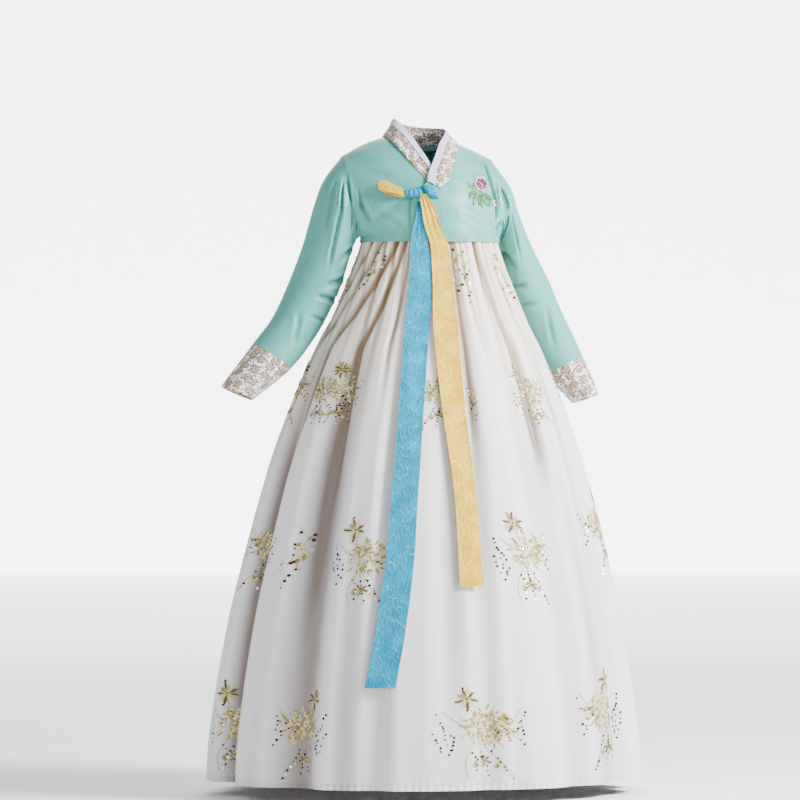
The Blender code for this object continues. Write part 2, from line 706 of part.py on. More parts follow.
def build_ties():
    tails = (("goreum_blue_tail", BLUE_TAIL, BLUE), ("goreum_yellow_tail", YELLOW_TAIL, YELLOW))
    for name, rows, colour in tails:
        low, high = rows["height"][0], rows["height"][-1]
        below = np.linspace(low, TAIL_BEND, int((TAIL_BEND - low) / TAIL_ROW_LENGTH) + 2)
        heights = np.append(below, np.linspace(TAIL_BEND, high, 9)[1:])
        make_wall(name, tail_surface(rows), np.linspace(0, 1, TAIL_COLUMNS), heights, colour,
                  steps=(1e-3, STEP))
    make_pad("goreum_knot", KNOT_CORNERS, KNOT_THICK, BLUE, 7, 7)
    make_pad("goreum_wrap", WRAP_CORNERS, WRAP_THICK, BLUE, 7, 7)
    make_wall("goreum_loop", loop_surface, np.linspace(0, 1, 17), np.linspace(0, 1, 5), YELLOW,
              wall=0.0012, out=-1, steps=(1e-3, 1e-3))


clear_scene()
build_skirt()
build_waistband()
build_jacket()
build_sleeves()
build_collar()
build_ties()
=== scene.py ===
"""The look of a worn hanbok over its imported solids: a mint satin jacket with a brocade collar
and cuffs, ribbon ties, and a pleated ivory skirt with thread and sequin embroidery.

The shapes come from the same tables as the solids, read more finely, with the cloth's creases
added. The tables give heights over the floor, and the origin is SHOULDER_HEIGHT over the floor.
"""

import bpy
import numpy as np
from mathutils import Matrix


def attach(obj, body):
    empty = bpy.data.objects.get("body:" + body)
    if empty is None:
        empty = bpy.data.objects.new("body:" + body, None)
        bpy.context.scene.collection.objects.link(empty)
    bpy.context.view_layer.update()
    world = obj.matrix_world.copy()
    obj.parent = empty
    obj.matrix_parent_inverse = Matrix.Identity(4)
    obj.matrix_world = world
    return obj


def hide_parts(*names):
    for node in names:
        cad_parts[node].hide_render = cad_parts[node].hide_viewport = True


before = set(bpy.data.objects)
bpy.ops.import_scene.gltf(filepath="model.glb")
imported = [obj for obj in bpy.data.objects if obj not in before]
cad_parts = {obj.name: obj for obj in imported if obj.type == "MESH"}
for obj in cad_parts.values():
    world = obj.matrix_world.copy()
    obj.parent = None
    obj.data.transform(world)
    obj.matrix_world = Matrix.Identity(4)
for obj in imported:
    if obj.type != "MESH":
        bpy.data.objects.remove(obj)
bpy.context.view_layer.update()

SHOULDER_HEIGHT = 1.426
COLLAR_CLOTH = 0.0012
TRIM_CLOTH = 0.0010
ARMHOLE_GAP = 0.0006
STEP = 1e-4


def table(columns, *rows):
    """Rows of numbers as one array for each named column."""
    return dict(zip(columns.split(), np.array(rows, float).T))


def between(rows, at, column):
    """The smooth curve through a column's values, read at a value of the table's first column."""
    x, y = next(iter(rows.values())), rows[column]
    at = np.clip(at, x[0], x[-1])
    i = np.clip(np.searchsorted(x, at, side="right") - 1, 0, len(x) - 2)
    slope = np.gradient(y, x)
    step = x[i + 1] - x[i]
    t = (at - x[i]) / step
    ends = y[i] * (1 + 2 * t) * (1 - t) ** 2 + y[i + 1] * t * t * (3 - 2 * t)
    return ends + step * t * (1 - t) * (slope[i] * (1 - t) - slope[i + 1] * t)


def curves(rows, at, columns):
    """The curves through several columns."""
    return [between(rows, at, column) for column in columns.split()]


def smooth(x):
    """0 below 0, 1 above 1, and an even rise between them."""
    x = np.clip(x, 0, 1)
    return x * x * (3 - 2 * x)


def bump(x):
    """A soft round rise, 1 high at 0 and gone at -1 and 1."""
    return np.where(np.abs(x) < 1, np.cos(np.pi / 2 * np.clip(x, -1, 1)) ** 2, 0.0)


def points(x, y, z):
    return np.stack(np.broadcast_arrays(x, y, z), axis=-1).astype(float)


def unit(vectors):
    length = np.linalg.norm(vectors, axis=-1, keepdims=True)
    return vectors / np.maximum(length, 1e-12)


def tangents(surface, u, v, du, dv):
    """Unit directions along u and v on a surface, and the normal that they span."""
    along_u = surface(u + du, v) - surface(u - du, v)
    along_v = surface(u, v + dv) - surface(u, v - dv)
    return unit(along_u), unit(along_v), unit(np.cross(along_u, along_v))


# Skirt: the outline's rings, the folds that open from its waist, and its pleats.

SKIRT_RING = table(
    "height half_width half_depth centre_y",
    (0.030, 0.4780, 0.394, 0.000),
    (0.090, 0.4755, 0.392, 0.000),
    (0.199, 0.4625, 0.380, -0.002),
    (0.308, 0.4450, 0.364, -0.004),
    (0.417, 0.4240, 0.346, -0.007),
    (0.526, 0.3970, 0.323, -0.010),
    (0.635, 0.3685, 0.298, -0.014),
    (0.745, 0.3370, 0.270, -0.018),
    (0.843, 0.3015, 0.238, -0.022),
    (0.908, 0.2755, 0.215, -0.025),
    (0.974, 0.2460, 0.190, -0.028),
    (1.037, 0.2135, 0.165, -0.030),
    (1.105, 0.1840, 0.142, -0.032),
    (1.150, 0.1660, 0.128, -0.033),
    (1.196, 0.1515, 0.1145, -0.035),
    (1.250, 0.1400, 0.102, -0.035),
)
SKIRT_X = 0.013
SKIRT_HEM, SKIRT_TOP = 0.030, 1.250
FOLDS = table(
    "angle half_angle depth",
    (-160, 11, 0.036),
    (-136, 9, 0.028),
    (-109, 11, 0.038),
    (-79, 10, 0.034),
    (-49, 12, 0.044),
    (-24, 6, 0.016),
    (6, 6, 0.015),
    (33, 10, 0.019),
    (54, 8, 0.017),
    (80, 9, 0.028),
    (103, 10, 0.036),
    (128, 9, 0.027),
    (152, 11, 0.040),
    (176, 8, 0.022),
)
FOLD_TOP, FOLD_FULL = 1.16, 0.62
FOLD_RADIUS = 0.44
PLEAT_ANGLE = 10
PLEAT_DEPTH = 0.0050
PLEAT_TOP, PLEAT_END = 1.12, 0.74
WIDTHS = 5
WIDTH_ANGLE = 80
FIRST_SEAM = -181
OVERLAP_ANGLE = WIDTHS * WIDTH_ANGLE - 360
UNDER_DEPTH = 0.0042
UNDER_REACH, UNDER_FADE = 9, 8
COLUMNS_PER_PLEAT = 3


def ring_at(height):
    return curves(SKIRT_RING, height, "half_width half_depth centre_y")


def fold_depth(angle, height):
    """How far the broad folds draw the cloth in, as wide open troughs between round ridges."""
    share = smooth((FOLD_TOP - height) / (FOLD_TOP - FOLD_FULL))
    depth = np.zeros(np.broadcast(angle, height).shape)
    for middle, half, deep in zip(FOLDS["angle"], FOLDS["half_angle"], FOLDS["depth"]):
        off = (angle - middle + 180) % 360 - 180
        depth = depth + deep * bump(off / half) * share
    return depth


def pleat_depth(angle, height):
    """How far the narrow waist pleats draw the cloth in."""
    turn = angle / PLEAT_ANGLE
    number = np.round(turn)
    uneven = 0.85 + 0.3 * np.sin(number * 2.4)
    share = smooth((height - PLEAT_END) / (PLEAT_TOP - PLEAT_END))
    return PLEAT_DEPTH * uneven * bump((turn - number) * COLUMNS_PER_PLEAT) * share


def skirt_front(x, height):
    """Y of the skirt's ridges in front, without its troughs."""
    half_width, half_depth, centre_y = ring_at(height)
    return centre_y - half_depth * np.sqrt(1 - ((x - SKIRT_X) / half_width) ** 2)


# Jacket body: one sheet that runs up the front, over the shoulder and down the back.

HEM_HEIGHT = 1.196
ARMHOLE = {
    -1: ((-0.170, 0.008, 1.386), (-0.176, -0.075, 1.298), (-0.1411, -0.035, 1.210), (-0.176, 0.062, 1.298)),
    1: ((0.158, 0.008, 1.383), (0.159, -0.073, 1.296), (0.1671, -0.035, 1.210), (0.170, 0.062, 1.296)),
}
BODY = table(
    "row turn drop centre_x centre_y centre_h sharp tilt",
    (0, 180, 0.014, 0.013, -0.1519, 1.196, 2.0, 0.00),
    (1, 180, 0.000, 0.013, -0.1515, 1.211, 2.0, 0.00),
    (2, 150, 0.000, 0.013, -0.1490, 1.236, 1.5, 0.00),
    (3, 120, 0.000, 0.012, -0.1420, 1.270, 1.2, 0.00),
    (4, 95, 0.000, 0.010, -0.1290, 1.308, 1.0, 0.00),
    (5, 70, 0.000, 0.007, -0.1070, 1.350, 1.0, 0.03),
    (6, 45, 0.000, 0.004, -0.0780, 1.388, 1.0, 0.06),
    (7, 20, 0.000, 0.001, -0.0400, 1.418, 1.0, 0.08),
    (8, 0, 0.000, 0.000, 0.0000, 1.4315, 1.0, 0.08),
    (9, -20, 0.000, 0.001, 0.0660, 1.405, 1.0, 0.08),
    (10, -45, 0.000, 0.004, 0.0800, 1.375, 1.0, 0.06),
    (11, -70, 0.000, 0.007, 0.0880, 1.340, 1.0, 0.03),
    (12, -95, 0.000, 0.010, 0.0900, 1.303, 1.0, 0.00),
    (13, -120, 0.000, 0.012, 0.0880, 1.268, 1.2, 0.00),
    (14, -150, 0.000, 0.013, 0.0850, 1.236, 1.5, 0.00),
    (15, -180, 0.000, 0.013, 0.0825, 1.211, 2.0, 0.00),
    (16, -180, 0.014, 0.013, 0.0819, 1.196, 2.0, 0.00),
)
RIDGE_ROW, BACK_NECK_ROW, LAST_ROW = 8, 9, 16
NECK_HALF = 0.078
SIDE_SEAM_HALF = 0.0002
RIGHT_EDGE = table(
    "height x",
    (1.196, 0.0350),
    (1.300, 0.0240),
    (1.327, -0.0010),
    (1.348, -0.0206),
    (1.369, -0.0395),
    (1.391, -0.0515),
    (1.411, -0.0655),
    (1.4255, -0.0780),
)
LEFT_EDGE = table(
    "height x",
    (1.196, 0.0100),
    (1.300, 0.0100),
    (1.322, 0.0140),
    (1.338, 0.0270),
    (1.353, 0.0360),
    (1.368, 0.0480),
    (1.384, 0.0575),
    (1.402, 0.0680),
    (1.4158, 0.0780),
)
GORE_EDGE = table(
    "height x",
    (1.196, -0.0550),
    (1.279, -0.0503),
    (1.305, -0.0340),
    (1.320, -0.0160),
    (1.330, -0.0060),
)
GORE_SEAM_X = 0.0098
GORE_TOP_ROW = 4.4
LIFT_AT_HEM, LIFT_AT_COLLAR = 0.0026, 0.0056
LIFT_START, LIFT_RISE = 1.23, 0.06
LAP_END, LAP_FADE = 0.105, 0.06
BODY_ROWS = (0, 1, 1.5, 2, 3, 4, 5, 6, 7, 7.5, 8, 8.3, 8.6, 8.85, 9, 10, 11, 12, 13, 14, 14.5, 15, 16)


def ring_point(cardinals, turn):
    """A closed ring through four points: the top, the front, the bottom and the back."""
    top, front, bottom, back = (np.asarray(p) for p in cardinals)
    a = np.radians(turn)[..., None]
    even = (top + bottom + front + back) / 4
    double = (top + bottom - front - back) / 4
    return even + (top - bottom) / 2 * np.cos(a) + double * np.cos(2 * a) + (front - back) / 2 * np.sin(a)


def body_edge(side, row):
    """The outer edge of the jacket's front and back: the armhole, and the side seam under it."""
    edge = ring_point(ARMHOLE[side], between(BODY, row, "turn"))
    edge[..., 2] -= np.interp(row, BODY["row"], BODY["drop"])
    edge[..., 1] += SIDE_SEAM_HALF * np.where(row < RIDGE_ROW, -1, 1)
    return edge


def body_point(x, row):
    """The jacket's outer face at a distance x from the middle."""
    x, row = np.broadcast_arrays(np.asarray(x, float), np.asarray(row, float))
    row = np.clip(row, 0, LAST_ROW)
    cx, cy, ch, sharp, tilt = curves(BODY, row, "centre_x centre_y centre_h sharp tilt")
    edge = np.where((x > cx)[..., None], body_edge(1, row), body_edge(-1, row))
    s = np.clip((x - cx) / (edge[..., 0] - cx), 0, 1)
    inner = np.clip(1 - s * s, 0, 1)
    y = edge[..., 1] + (cy - edge[..., 1]) * inner ** (1 / sharp)
    height = ch + (edge[..., 2] - ch) * s * s - tilt * x * inner
    return points(x, y, height)


def front_row(x, height):
    """The row of the sheet at which the front reaches a height."""
    low = np.zeros(np.broadcast(x, height).shape)
    high = low + RIDGE_ROW
    for _ in range(26):
        row = (low + high) / 2
        below = body_point(x, row)[..., 2] < height
        low, high = np.where(below, row, low), np.where(below, high, row)
    return (low + high) / 2


def lift(x, row):
    """How far the wearer's left front stands off the right front, which it crosses."""
    height = body_point(x, row)[..., 2]
    most = LIFT_AT_HEM + (LIFT_AT_COLLAR - LIFT_AT_HEM) * smooth((height - LIFT_START) / LIFT_RISE)
    return most * smooth((LAP_END - x) / LAP_FADE) * smooth((RIDGE_ROW - row) / 2)


def raised(x, row, out):
    """A point moved out from the jacket's face."""
    normal = tangents(body_point, x, row, STEP, 1e-3)[2]
    return body_point(x, row) + normal * np.asarray(out)[..., None]


def on_front(x, height, out):
    """A point moved out from the front that lies on top."""
    row = front_row(x, height)
    return raised(x, row, out + lift(x, row))


def edge_x(edge, row, start):
    """Where a front's inner edge, given as x over height, crosses a row of the sheet."""
    x = np.full(np.shape(row), float(start))
    for _ in range(14):
        x = np.interp(body_point(x, row)[..., 2], edge["height"], edge["x"])
    return x


def jacket_half(side):
    """The surface of one half of the jacket, from its front hem up and over to the back hem."""
    edge = RIGHT_EDGE if side < 0 else LEFT_EDGE

    def inner_x(row):
        front = edge_x(edge, np.minimum(row, RIDGE_ROW), side * NECK_HALF)
        turn = np.clip(row - RIDGE_ROW, 0, BACK_NECK_ROW - RIDGE_ROW)
        nape = side * NECK_HALF * np.sqrt(1 - turn**2)
        return np.where(row < RIDGE_ROW, front, nape)

    def surface(u, row):
        row = np.clip(row, 0, LAST_ROW)
        start, end = inner_x(row), body_edge(side, row)[..., 0]
        x = start + (end - start) * np.sin(np.pi / 2 * np.clip(u, 0, 1))
        out = lift(x, row) if side > 0 else np.zeros(x.shape)
        return raised(x, row, out)

    return surface


def gore(u, row):
    """The narrow gore that widens the left front past the middle."""
    start = edge_x(GORE_EDGE, row, -0.03)
    x = start + (GORE_SEAM_X - start) * np.clip(u, 0, 1)
    return raised(x, row, lift(x, row))


# Sleeves and cuffs: rings from the armhole to the cuff's open end.

SLEEVE = {
    -1: table(
        "station outer_x outer_h inner_x inner_h centre_y half_depth",
        (1, -0.2152, 1.3340, -0.1490, 1.1990, -0.012, 0.071),
        (2, -0.2359, 1.2795, -0.1580, 1.1725, -0.012, 0.068),
        (3, -0.2642, 1.1856, -0.1800, 1.1020, -0.008, 0.061),
        (4, -0.3000, 1.0939, -0.2060, 1.0440, -0.008, 0.055),
        (5, -0.3359, 1.0284, -0.2400, 0.9900, -0.018, 0.051),
        (6, -0.3795, 0.9738, -0.2955, 0.9214, -0.032, 0.048),
        (7, -0.4510, 0.8843, -0.3836, 0.8537, -0.050, 0.045),
    ),
    1: table(
        "station outer_x outer_h inner_x inner_h centre_y half_depth",
        (1, 0.1960, 1.3275, 0.1740, 1.1990, 0.000, 0.070),
        (2, 0.2150, 1.2795, 0.1820, 1.1725, 0.008, 0.067),
        (3, 0.2546, 1.1921, 0.1960, 1.1060, 0.022, 0.060),
        (4, 0.3006, 1.1114, 0.2180, 1.0500, 0.038, 0.055),
        (5, 0.3366, 1.0393, 0.2470, 0.9900, 0.050, 0.051),
        (6, 0.3793, 0.9585, 0.2980, 0.9120, 0.060, 0.047),
        (7, 0.4231, 0.8690, 0.3648, 0.8472, 0.075, 0.043),
    ),
}
CUFF_STATION, CUFF_END = 6, 7


def sleeve_cardinals(side):
    """The top, front, bottom and back of every ring of a sleeve, from the armhole on."""
    rows = SLEEVE[side]
    middle_x = (rows["outer_x"] + rows["inner_x"]) / 2
    middle_h = (rows["outer_h"] + rows["inner_h"]) / 2
    rings = [
        points(rows["outer_x"], rows["centre_y"], rows["outer_h"]),
        points(middle_x, rows["centre_y"] - rows["half_depth"], middle_h),
        points(rows["inner_x"], rows["centre_y"], rows["inner_h"]),
        points(middle_x, rows["centre_y"] + rows["half_depth"], middle_h),
    ]
    first = np.array(ARMHOLE[side]) + (side * ARMHOLE_GAP, 0, 0)
    return np.concatenate([first[:, None], np.array(rings)], axis=1)


def spline(knots, at):
    """The smooth curve through evenly numbered points."""
    last = len(knots) - 1
    at = np.clip(at, 0, last)
    i = np.clip(np.floor(at).astype(int), 0, last - 1)
    slope = np.gradient(knots, axis=0)
    t = (at - i)[..., None]
    ends = knots[i] * (1 + 2 * t) * (1 - t) ** 2 + knots[i + 1] * t * t * (3 - 2 * t)
    return ends + t * (1 - t) * (slope[i] * (1 - t) - slope[i + 1] * t)


def sleeve(side):
    cardinals = sleeve_cardinals(side)

    def surface(turn, station):
        turn, station = np.broadcast_arrays(turn, station)
        return ring_point([spline(line, station) for line in cardinals], turn)

    return surface


# Collar: one band from the right front's end, round the nape, to the left front's end.

COLLAR = table(
    "station seam_x seam_h seam_row seam_out top_x top_y top_h on_body",
    (0, 0.0120, 1.3050, 0, 0.0000, 0.0180, 0, 1.3350, 1.0),
    (1, -0.0093, 1.3269, 0, 0.0000, 0.0009, 0, 1.3610, 1.0),
    (2, -0.0276, 1.3476, 0, 0.0000, -0.0111, 0, 1.3865, 1.0),
    (3, -0.0446, 1.3700, 0, 0.0010, -0.0235, -0.058, 1.4110, 0.0),
    (4, -0.0580, 1.3910, 0, 0.0020, -0.0355, -0.039, 1.4330, 0.0),
    (5, -0.0705, 1.4110, 0, 0.0028, -0.0461, -0.020, 1.4510, 0.0),
    (6, -0.0805, 0, 8.0, 0.0028, -0.0570, 0.000, 1.4660, 0.0),
    (7, -0.0660, 0, 8.6, 0.0028, -0.0420, 0.036, 1.4600, 0.0),
    (8, 0.0000, 0, 9.1, 0.0028, 0.0000, 0.052, 1.4510, 0.0),
    (9, 0.0660, 0, 8.6, 0.0028, 0.0430, 0.040, 1.4480, 0.0),
    (10, 0.0805, 0, 8.0, 0.0028, 0.0580, 0.010, 1.4420, 0.0),
    (11, 0.0733, 1.4017, 0, 0.0028, 0.0469, -0.022, 1.4258, 0.0),
    (12, 0.0642, 1.3843, 0, 0.0020, 0.0328, -0.048, 1.4094, 0.2),
    (13, 0.0554, 1.3679, 0, 0.0000, 0.0192, 0, 1.3890, 1.0),
    (14, 0.0450, 1.3526, 0, 0.0000, 0.0062, 0, 1.3660, 1.0),
    (15, 0.0380, 1.3384, 0, 0.0000, -0.0045, 0, 1.3455, 1.0),
    (16, 0.0340, 1.3225, 0, 0.0000, -0.0121, 0, 1.3222, 1.0),
)
TRIM_START, TRIM_END = 0.70, 1.03
COLLAR_GAP, TRIM_GAP = 0.0005, 0.0006
COLLAR_POINT = 0.0105


def collar_lines():
    """The collar's seam and its free top edge, as points for each station."""
    seam, top = [], []
    for i in range(len(COLLAR["station"])):
        row = {column: values[i] for column, values in COLLAR.items()}
        seam_row = row["seam_row"] or front_row(row["seam_x"], row["seam_h"])
        seam.append(raised(row["seam_x"], seam_row, row["seam_out"]))
        free = np.array([row["top_x"], row["top_y"], row["top_h"]])
        if row["on_body"] == 1:
            free = body_point(row["top_x"], front_row(row["top_x"], row["top_h"]))
        top.append(free)
    return np.array(seam), np.array(top)


def collar_surface(extra):
    """The collar band, moved out from the body; across it runs from 0 at the seam to 1."""
    seam, top = collar_lines()

    def band(across, station):
        across, station = np.broadcast_arrays(across, station)
        t = across[..., None]
        flat = spline(seam, station) * (1 - t) + spline(top, station) * t
        tip = smooth(station - 15) * COLLAR_POINT * bump(across * 2 - 1)
        flat[..., 2] -= tip
        row = front_row(flat[..., 0], flat[..., 2])
        share = between(COLLAR, station, "on_body")
        flat[..., 1] += (body_point(flat[..., 0], row)[..., 1] - flat[..., 1]) * share
        return flat

    def surface(across, station):
        across, station = np.broadcast_arrays(across, np.clip(station, 0, len(seam) - 1))
        base = band(across, station)
        normal = tangents(band, across, station, 1e-3, 1e-3)[2]
        on_left = np.where(station > 9, lift(base[..., 0], front_row(base[..., 0], base[..., 2])), 0)
        return base + normal * (on_left + extra)[..., None]

    return surface


# Ties: two ribbon ends that hang from a knot with one loop drawn out to the side.

BLUE_TAIL = table(
    "height left right out",
    (0.246, -0.1995, -0.1386, 0.0030),
    (0.326, -0.1810, -0.1214, 0.0030),
    (0.431, -0.1629, -0.1029, 0.0030),
    (0.515, -0.1469, -0.0903, 0.0030),
    (0.642, -0.1312, -0.0767, 0.0030),
    (0.854, -0.1032, -0.0506, 0.0030),
    (1.004, -0.0799, -0.0293, 0.0030),
    (1.134, -0.0607, -0.0133, 0.0028),
    (1.190, -0.0556, -0.0191, 0.0026),
    (1.218, -0.0520, -0.0230, 0.0026),
    (1.252, -0.0437, -0.0220, 0.0026),
    (1.282, -0.0395, -0.0240, 0.0026),
)
YELLOW_TAIL = table(
    "height left right out",
    (0.4585, 0.0044, 0.0565, 0.0050),
    (0.642, 0.0019, 0.0487, 0.0050),
    (0.854, -0.0155, 0.0360, 0.0050),
    (1.004, -0.0193, 0.0335, 0.0050),
    (1.134, -0.0130, 0.0285, 0.0050),
    (1.190, -0.0145, 0.0225, 0.0050),
    (1.231, -0.0264, 0.0067, 0.0052),
    (1.263, -0.0314, -0.0020, 0.0070),
    (1.283, -0.0340, -0.0130, 0.0115),
    (1.298, -0.0335, -0.0240, 0.0128),
)
TAIL_ROUNDING = 0.004
KNOT_CORNERS = ((-0.0175, 1.2868), (0.0068, 1.2860), (-0.0265, 1.3145), (-0.0008, 1.3152))
WRAP_CORNERS = ((-0.0636, 1.2890), (-0.0186, 1.2850), (-0.0636, 1.3040), (-0.0262, 1.3085))
KNOT_THICK, WRAP_THICK = 0.0125, 0.0068
LOOP_RIGHT, LOOP_LEFT = -0.0641, -0.1155
LOOP_SPAN = table(
    "along low high",
    (0.0, 1.2885, 1.3035),
    (0.44, 1.2915, 1.3160),
    (0.77, 1.2985, 1.3235),
    (0.93, 1.3035, 1.3185),
    (1.0, 1.3060, 1.3090),
)
LOOP_OUT_BACK, LOOP_OUT_FRONT = 0.0020, 0.0072


def tail_surface(rows):
    """A ribbon that lies on the jacket, then falls over its hem and down the skirt's ridges."""

    def surface(u, height):
        u, height = np.broadcast_arrays(u, height)
        left, right, out = curves(rows, height, "left right out")
        x = left + (right - left) * u
        jacket = on_front(x, np.maximum(height, HEM_HEIGHT), out)
        skirt = skirt_front(x, np.minimum(height, SKIRT_TOP)) - out * 1.1
        apart = jacket[..., 1] - skirt
        over = (jacket[..., 1] + skirt - np.sqrt(apart**2 + TAIL_ROUNDING**2)) / 2
        y = np.where(height < HEM_HEIGHT, over, np.minimum(jacket[..., 1], over))
        return points(x, y, height)

    return surface


def patch(corners, u, v):
    """A place in a four-sided patch of the chest, as x and height."""
    low_left, low_right, high_left, high_right = (np.array(c) for c in corners)
    low = low_left + (low_right - low_left) * u[..., None]
    high = high_left + (high_right - high_left) * u[..., None]
    return np.moveaxis(low + (high - low) * v[..., None], -1, 0)


def loop_surface(u, v):
    """A band folded back on itself: u runs from the back layer's root, round the left end."""
    u, v = np.broadcast_arrays(u, v)
    along = np.sin(np.pi / 2 * (1 - np.abs(2 * u - 1)))
    x = LOOP_RIGHT + (LOOP_LEFT - LOOP_RIGHT) * along
    low, high = curves(LOOP_SPAN, along, "low high")
    out = LOOP_OUT_BACK + (LOOP_OUT_FRONT - LOOP_OUT_BACK) * smooth((u - 0.38) / 0.24)
    return on_front(x, low + (high - low) * v, out)


# Finer skirt: creases that fan out from the waist, uneven ripples and a puckered hem.

CREASES = table(
    "top_angle low_angle half depth end",
    (-32, -43, 4.0, 0.0090, 0.62),
    (-40, -62, 5.5, 0.0100, 0.66),
    (-25, -29, 2.6, 0.0060, 0.80),
    (-56, -80, 5.0, 0.0090, 0.60),
    (-70, -96, 6.0, 0.0090, 0.70),
    (7, 7.5, 3.0, 0.0075, 0.66),
    (15, 17, 2.4, 0.0045, 0.86),
    (31, 35, 4.5, 0.0080, 0.60),
    (45, 52, 3.0, 0.0050, 0.70),
    (60, 72, 4.5, 0.0080, 0.58),
    (78, 94, 5.0, 0.0090, 0.64),
    (96, 112, 5.5, 0.0085, 0.60),
    (118, 131, 4.5, 0.0080, 0.72),
    (140, 148, 5.0, 0.0090, 0.58),
    (160, 164, 4.0, 0.0070, 0.70),
    (181, 181, 4.5, 0.0085, 0.62),
    (-162, -166, 5.0, 0.0080, 0.60),
    (-141, -150, 4.5, 0.0085, 0.70),
    (-120, -133, 5.5, 0.0090, 0.58),
    (-98, -114, 4.5, 0.0080, 0.66),
)
CREASE_TOP, CREASE_LOW = 1.19, 1.04
CREASE_FADE = 0.22
RIPPLES = table(
    "waves drift phase depth",
    (9, 110, 20, 0.0022),
    (14, -160, 200, 0.0016),
    (23, 210, 75, 0.0012),
    (37, -120, 310, 0.0007),
)
RIPPLE_TOP, RIPPLE_FADE = 1.10, 0.4
HEM_PUCKERS, HEM_DEPTH, HEM_BAND = 190, 0.0012, 0.026
STITCH_UP, STITCH_HALF, STITCH_DEPTH = 0.010, 0.004, 0.0010
SEAM_GROOVE, SEAM_HALF, SEAM_RADIUS = 0.0024, 0.0036, 0.45
SEAM_TOP, SEAM_FADE = 1.1, 0.3


def crease_depth(angle, height):
    """How far the narrower creases between the pleats and the broad folds draw the cloth in."""
    down = np.clip((CREASE_TOP - height) / (CREASE_TOP - CREASE_LOW), -0.4, 1.5)
    depth = np.zeros(np.broadcast(angle, height).shape)
    for top, low, half, deep, end in zip(*CREASES.values()):
        middle = top + (low - top) * down
        off = (angle - middle + 180) % 360 - 180
        depth = depth + deep * bump(off / half) * smooth((height - end) / CREASE_FADE)
    return depth


def ripple_depth(angle, height):
    """How far the loose cloth's ripples and the stitched hem draw it in."""
    share = smooth((RIPPLE_TOP - height) / RIPPLE_FADE)
    depth = np.zeros(np.broadcast(angle, height).shape)
    for waves, drift, phase, deep in zip(*RIPPLES.values()):
        depth = depth + deep * np.sin(np.radians(angle * waves + height * drift + phase)) * share
    low = smooth((SKIRT_HEM + HEM_BAND - height) / HEM_BAND)
    stitched = STITCH_DEPTH * bump((height - SKIRT_HEM - STITCH_UP) / STITCH_HALF)
    return depth + HEM_DEPTH * np.sin(np.radians(angle * HEM_PUCKERS)) * low + stitched


def skirt_inward(angle, height):
    """All that draws the cloth in, at a place on the skirt."""
    folds = fold_depth(angle, height)
    fine = pleat_depth(angle, height) + crease_depth(angle, height) + ripple_depth(angle, height)
    seam = (angle - FIRST_SEAM + WIDTH_ANGLE / 2) % WIDTH_ANGLE - WIDTH_ANGLE / 2
    groove = SEAM_GROOVE * bump(np.radians(seam) * SEAM_RADIUS / SEAM_HALF)
    return folds, fine + groove * smooth((SEAM_TOP - height) / SEAM_FADE)


def skirt_fine(angle, height):
    """The skirt's outer face. The first stretch of cloth passes under the last one."""
    half_width, half_depth, centre_y = ring_at(height)
    under = smooth((FIRST_SEAM + OVERLAP_ANGLE + UNDER_REACH - angle) / UNDER_FADE) * UNDER_DEPTH
    radius = (half_width + half_depth) / 2
    folds, fine = skirt_inward(angle, height)
    size = 1 - (folds * radius / FOLD_RADIUS + fine + under) / radius
    a = np.radians(angle)
    return points(SKIRT_X + half_width * size * np.sin(a), centre_y - half_depth * size * np.cos(a), height)


def off_skirt(angle, height, out):
    """A point just off the skirt's cloth."""
    normal = tangents(skirt_fine, angle, height, 0.05, STEP)[2]
    return skirt_fine(angle, height) + normal * np.asarray(out)[..., None]


# Finer jacket and sleeves: creases given as lines from one place on the cloth to another.

FRONT_CREASES = {
    -1: table(
        "x0 h0 x1 h1 half depth",
        (-0.178, 1.345, -0.172, 1.240, 0.0060, 0.0046),
        (-0.172, 1.262, -0.146, 1.205, 0.0065, 0.0062),
        (-0.158, 1.312, -0.150, 1.262, 0.0060, 0.0034),
        (-0.160, 1.290, -0.132, 1.228, 0.0085, 0.0040),
        (-0.060, 1.285, -0.140, 1.235, 0.0140, 0.0020),
        (-0.080, 1.335, -0.150, 1.350, 0.0160, 0.0014),
        (-0.130, 1.262, -0.060, 1.222, 0.0120, 0.0014),
    ),
    1: table(
        "x0 h0 x1 h1 half depth",
        (0.130, 1.380, 0.147, 1.290, 0.0052, 0.0062),
        (0.144, 1.318, 0.149, 1.236, 0.0055, 0.0086),
        (0.143, 1.222, 0.168, 1.245, 0.0068, 0.0095),
        (0.152, 1.236, 0.148, 1.200, 0.0060, 0.0050),
        (0.158, 1.330, 0.160, 1.262, 0.0070, 0.0040),
        (0.030, 1.290, 0.130, 1.250, 0.0160, 0.0016),
        (0.080, 1.360, 0.140, 1.330, 0.0160, 0.0014),
        (0.050, 1.262, 0.130, 1.222, 0.0120, 0.0014),
    ),
}
